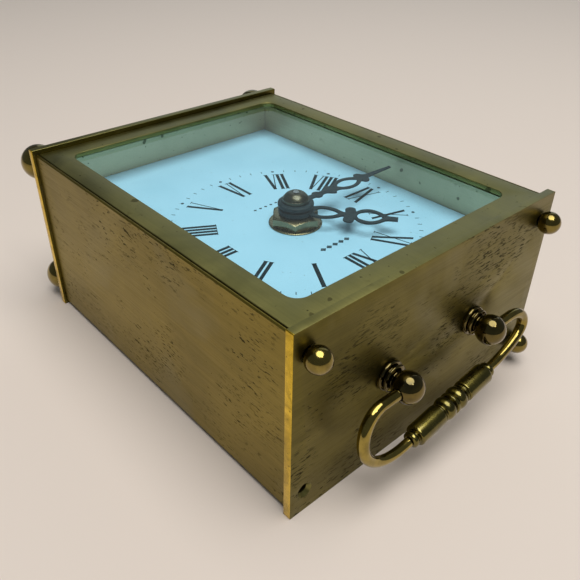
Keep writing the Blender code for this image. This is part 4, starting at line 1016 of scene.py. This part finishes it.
def make_centre():
    """Washer, chamfered hexagon nut, domed nut and the arbor's tip; heights are in mm above the dial."""
    profile = softened([(3.55, 0.4), (6.2, 0.4), (6.5, 0.28), (6.5, 0.1), (3.55, 0.1)], 0.06)
    washer = turned(profile, 72, "dial_washer_turned", at_dial())
    finish_piece(washer, ["nut"], "case", ["dial_washer"])
    nut_low, nut_high = 0.5, 2.75
    nut = outline_object("dial_nut_hexagon", [circle(6.2 * MM, 6)], (nut_high - nut_low) * MM, 0.05 * MM, 2)
    top = (nut_high - nut_low) / 2
    chamfer = [(0.0, top + 0.05), (5.0, top + 0.05), (7.6, top - 1.2), (7.6, -3.0),
               (9.0, -3.0), (9.0, 3.0), (0.0, 3.0)]
    nut = cut_with(nut, turned(chamfer[::-1], 72, "chamfer"))
    move(nut, at_dial((nut_high + nut_low) / 2 * MM, math.radians(47.0)))
    finish_piece(nut, ["nut"], "case", ["dial_nut"])
    bush = softened([(0.0, 2.3), (3.1, 2.3), (3.4, 2.05), (3.4, 0.2), (0.0, 0.2)], 0.08)
    item = turned(bush, 56, "bush_rim", at_dial())
    finish_piece(item, ["dome"], "case", None)
    crown = smooth_line([(1.05, 8.22), (1.7, 8.08), (2.4, 7.65), (2.9, 7.1), (3.08, 6.78)], 6)
    dome = [(1.0, 8.1)] + crown + softened([(3.08, 6.76), (3.25, 6.7), (3.25, 5.98), (3.1, 5.95)], 0.06, 3)
    dome.append((1.0, 5.95))
    item = turned(dome, 64, "cap_nut_dome", at_dial())
    finish_piece(item, ["dome"], "minute_hand", ["cap_nut"])
    tip = arc(1.4, 6.87, 0, 32, 8) + [(0.74, 7.9), (0.74, 0.0), (0.0, 0.0)]
    item = turned(tip, 40, "minute_arbor_tip", at_dial())
    finish_piece(item, ["steel"], "minute_hand", None)


# ---------------------------------------------------------------- parts kept as they are

KEPT_NODES = {
    "inner": ("glass_retainer", "dial_strip_top", "dial_strip_bottom"),
    "black": ("dial_rest_top", "dial_rest_bottom", "movement_front", "movement_back", "battery_lid",
              "set_knob", "rotor"),
    "white": ("seconds_wheel", "step_wheel"),
    "wheel": ("third_wheel", "centre_wheel", "hour_wheel", "minute_wheel", "cannon_pinion"),
    "cover": ("train_bridge", "middle_plate"),
    "steel": ("minute_arbor", "stator", "quartz_crystal", "battery_contact_plus", "battery_contact_minus",
              "handle_post_nut_right", "handle_post_nut_left"),
    "copper": ("coil",),
    "circuit": ("circuit_board",),
    "battery": ("battery",),
}


def dress_node(node, material):
    """Give a CAD node that stays visible its material."""
    NODES[node].data.materials.clear()
    NODES[node].data.materials.append(MATERIALS[material])


def keep_nodes():
    for material, nodes in KEPT_NODES.items():
        for node in nodes:
            dress_node(node, material)


# ---------------------------------------------------------------- stage

# The camera that took the photograph, fitted to the case's corners; lens and sensor are in mm.
CAMERA_PLACE = Vector((0.094925, 0.108754, 0.110329))
CAMERA_AZIMUTH = math.radians(137.60)
CAMERA_ELEVATION = math.radians(34.33)
CAMERA_ROLL = math.radians(0.936)
CAMERA_LENS = 40.36
CAMERA_SENSOR = 36.0


def make_camera():
    """The camera, level across but for a slight roll."""
    data = bpy.data.cameras.new("camera")
    data.lens = CAMERA_LENS
    data.sensor_width = CAMERA_SENSOR
    data.clip_start = 0.005
    back = Vector((math.sin(CAMERA_AZIMUTH) * math.cos(CAMERA_ELEVATION),
                   -math.cos(CAMERA_AZIMUTH) * math.cos(CAMERA_ELEVATION), math.sin(CAMERA_ELEVATION)))
    level = Vector((math.cos(CAMERA_AZIMUTH), math.sin(CAMERA_AZIMUTH), 0.0))
    upright = back.cross(level)
    right = level * math.cos(CAMERA_ROLL) + upright * math.sin(CAMERA_ROLL)
    up = back.cross(right)
    camera = bpy.data.objects.new("camera", data)
    camera.matrix_world = Matrix.Translation(CAMERA_PLACE) @ Matrix((right, up, back)).transposed().to_4x4()
    bpy.context.scene.collection.objects.link(camera)
    bpy.context.scene.camera = camera


def make_floor():
    """Plain warm card under the clock."""
    shape = bmesh.new()
    bmesh.ops.create_grid(shape, x_segments=1, y_segments=1, size=1.6)
    floor = to_object(shape, "floor")
    shade = Shade("floor_card")
    shade.set(Base_Color=(0.75, 0.655, 0.58), Roughness=0.9)
    floor.data.materials.append(shade.material)
    bpy.context.scene.collection.objects.link(floor)


LIGHT_AIM = Vector((0.0, 0.0, 0.03))


def add_light(name, direction, distance, size, power, colour):
    """Round area light that faces a point inside the clock; distance and size in metres, power in watts."""
    data = bpy.data.lights.new(name, "AREA")
    data.shape = "DISK"
    data.size = size
    data.energy = power
    data.color = colour
    light = bpy.data.objects.new(name, data)
    direction = Vector(direction).normalized()
    light.location = direction * distance + LIGHT_AIM
    light.rotation_euler = direction.to_track_quat("Z", "Y").to_euler()
    bpy.context.scene.collection.objects.link(light)


def make_lights():
    """A wide soft light above, a small one for highlights and a faint cool one low at the far side."""
    add_light("ceiling", (0.02, 0.20, 1.0), 0.9, 0.8, 8.2, (1.0, 0.99, 0.97))
    add_light("highlight", (0.04, 0.60, 0.80), 0.9, 0.10, 0.3, (1.0, 0.98, 0.94))
    add_light("far_wall", (-0.75, -0.54, 0.40), 1.3, 1.55, 2.6, (0.86, 0.96, 1.0))


def make_world():
    """Dim cool surroundings, and a plain view transform in place of the filmic one."""
    world = bpy.data.worlds.new("studio")
    world.use_nodes = True
    background = world.node_tree.nodes["Background"]
    background.inputs["Color"].default_value = (0.88, 0.96, 1.0, 1.0)
    background.inputs["Strength"].default_value = 0.13
    bpy.context.scene.world = world
    bpy.context.scene.view_settings.view_transform = "Standard"


make_camera()
make_plates()
make_panels()
make_frame()
make_glass()
make_cover()
make_ball_screws()
make_feet()
make_posts()
make_handle()
make_dial()
make_hands()
make_centre()
keep_nodes()
make_floor()
make_lights()
make_world()
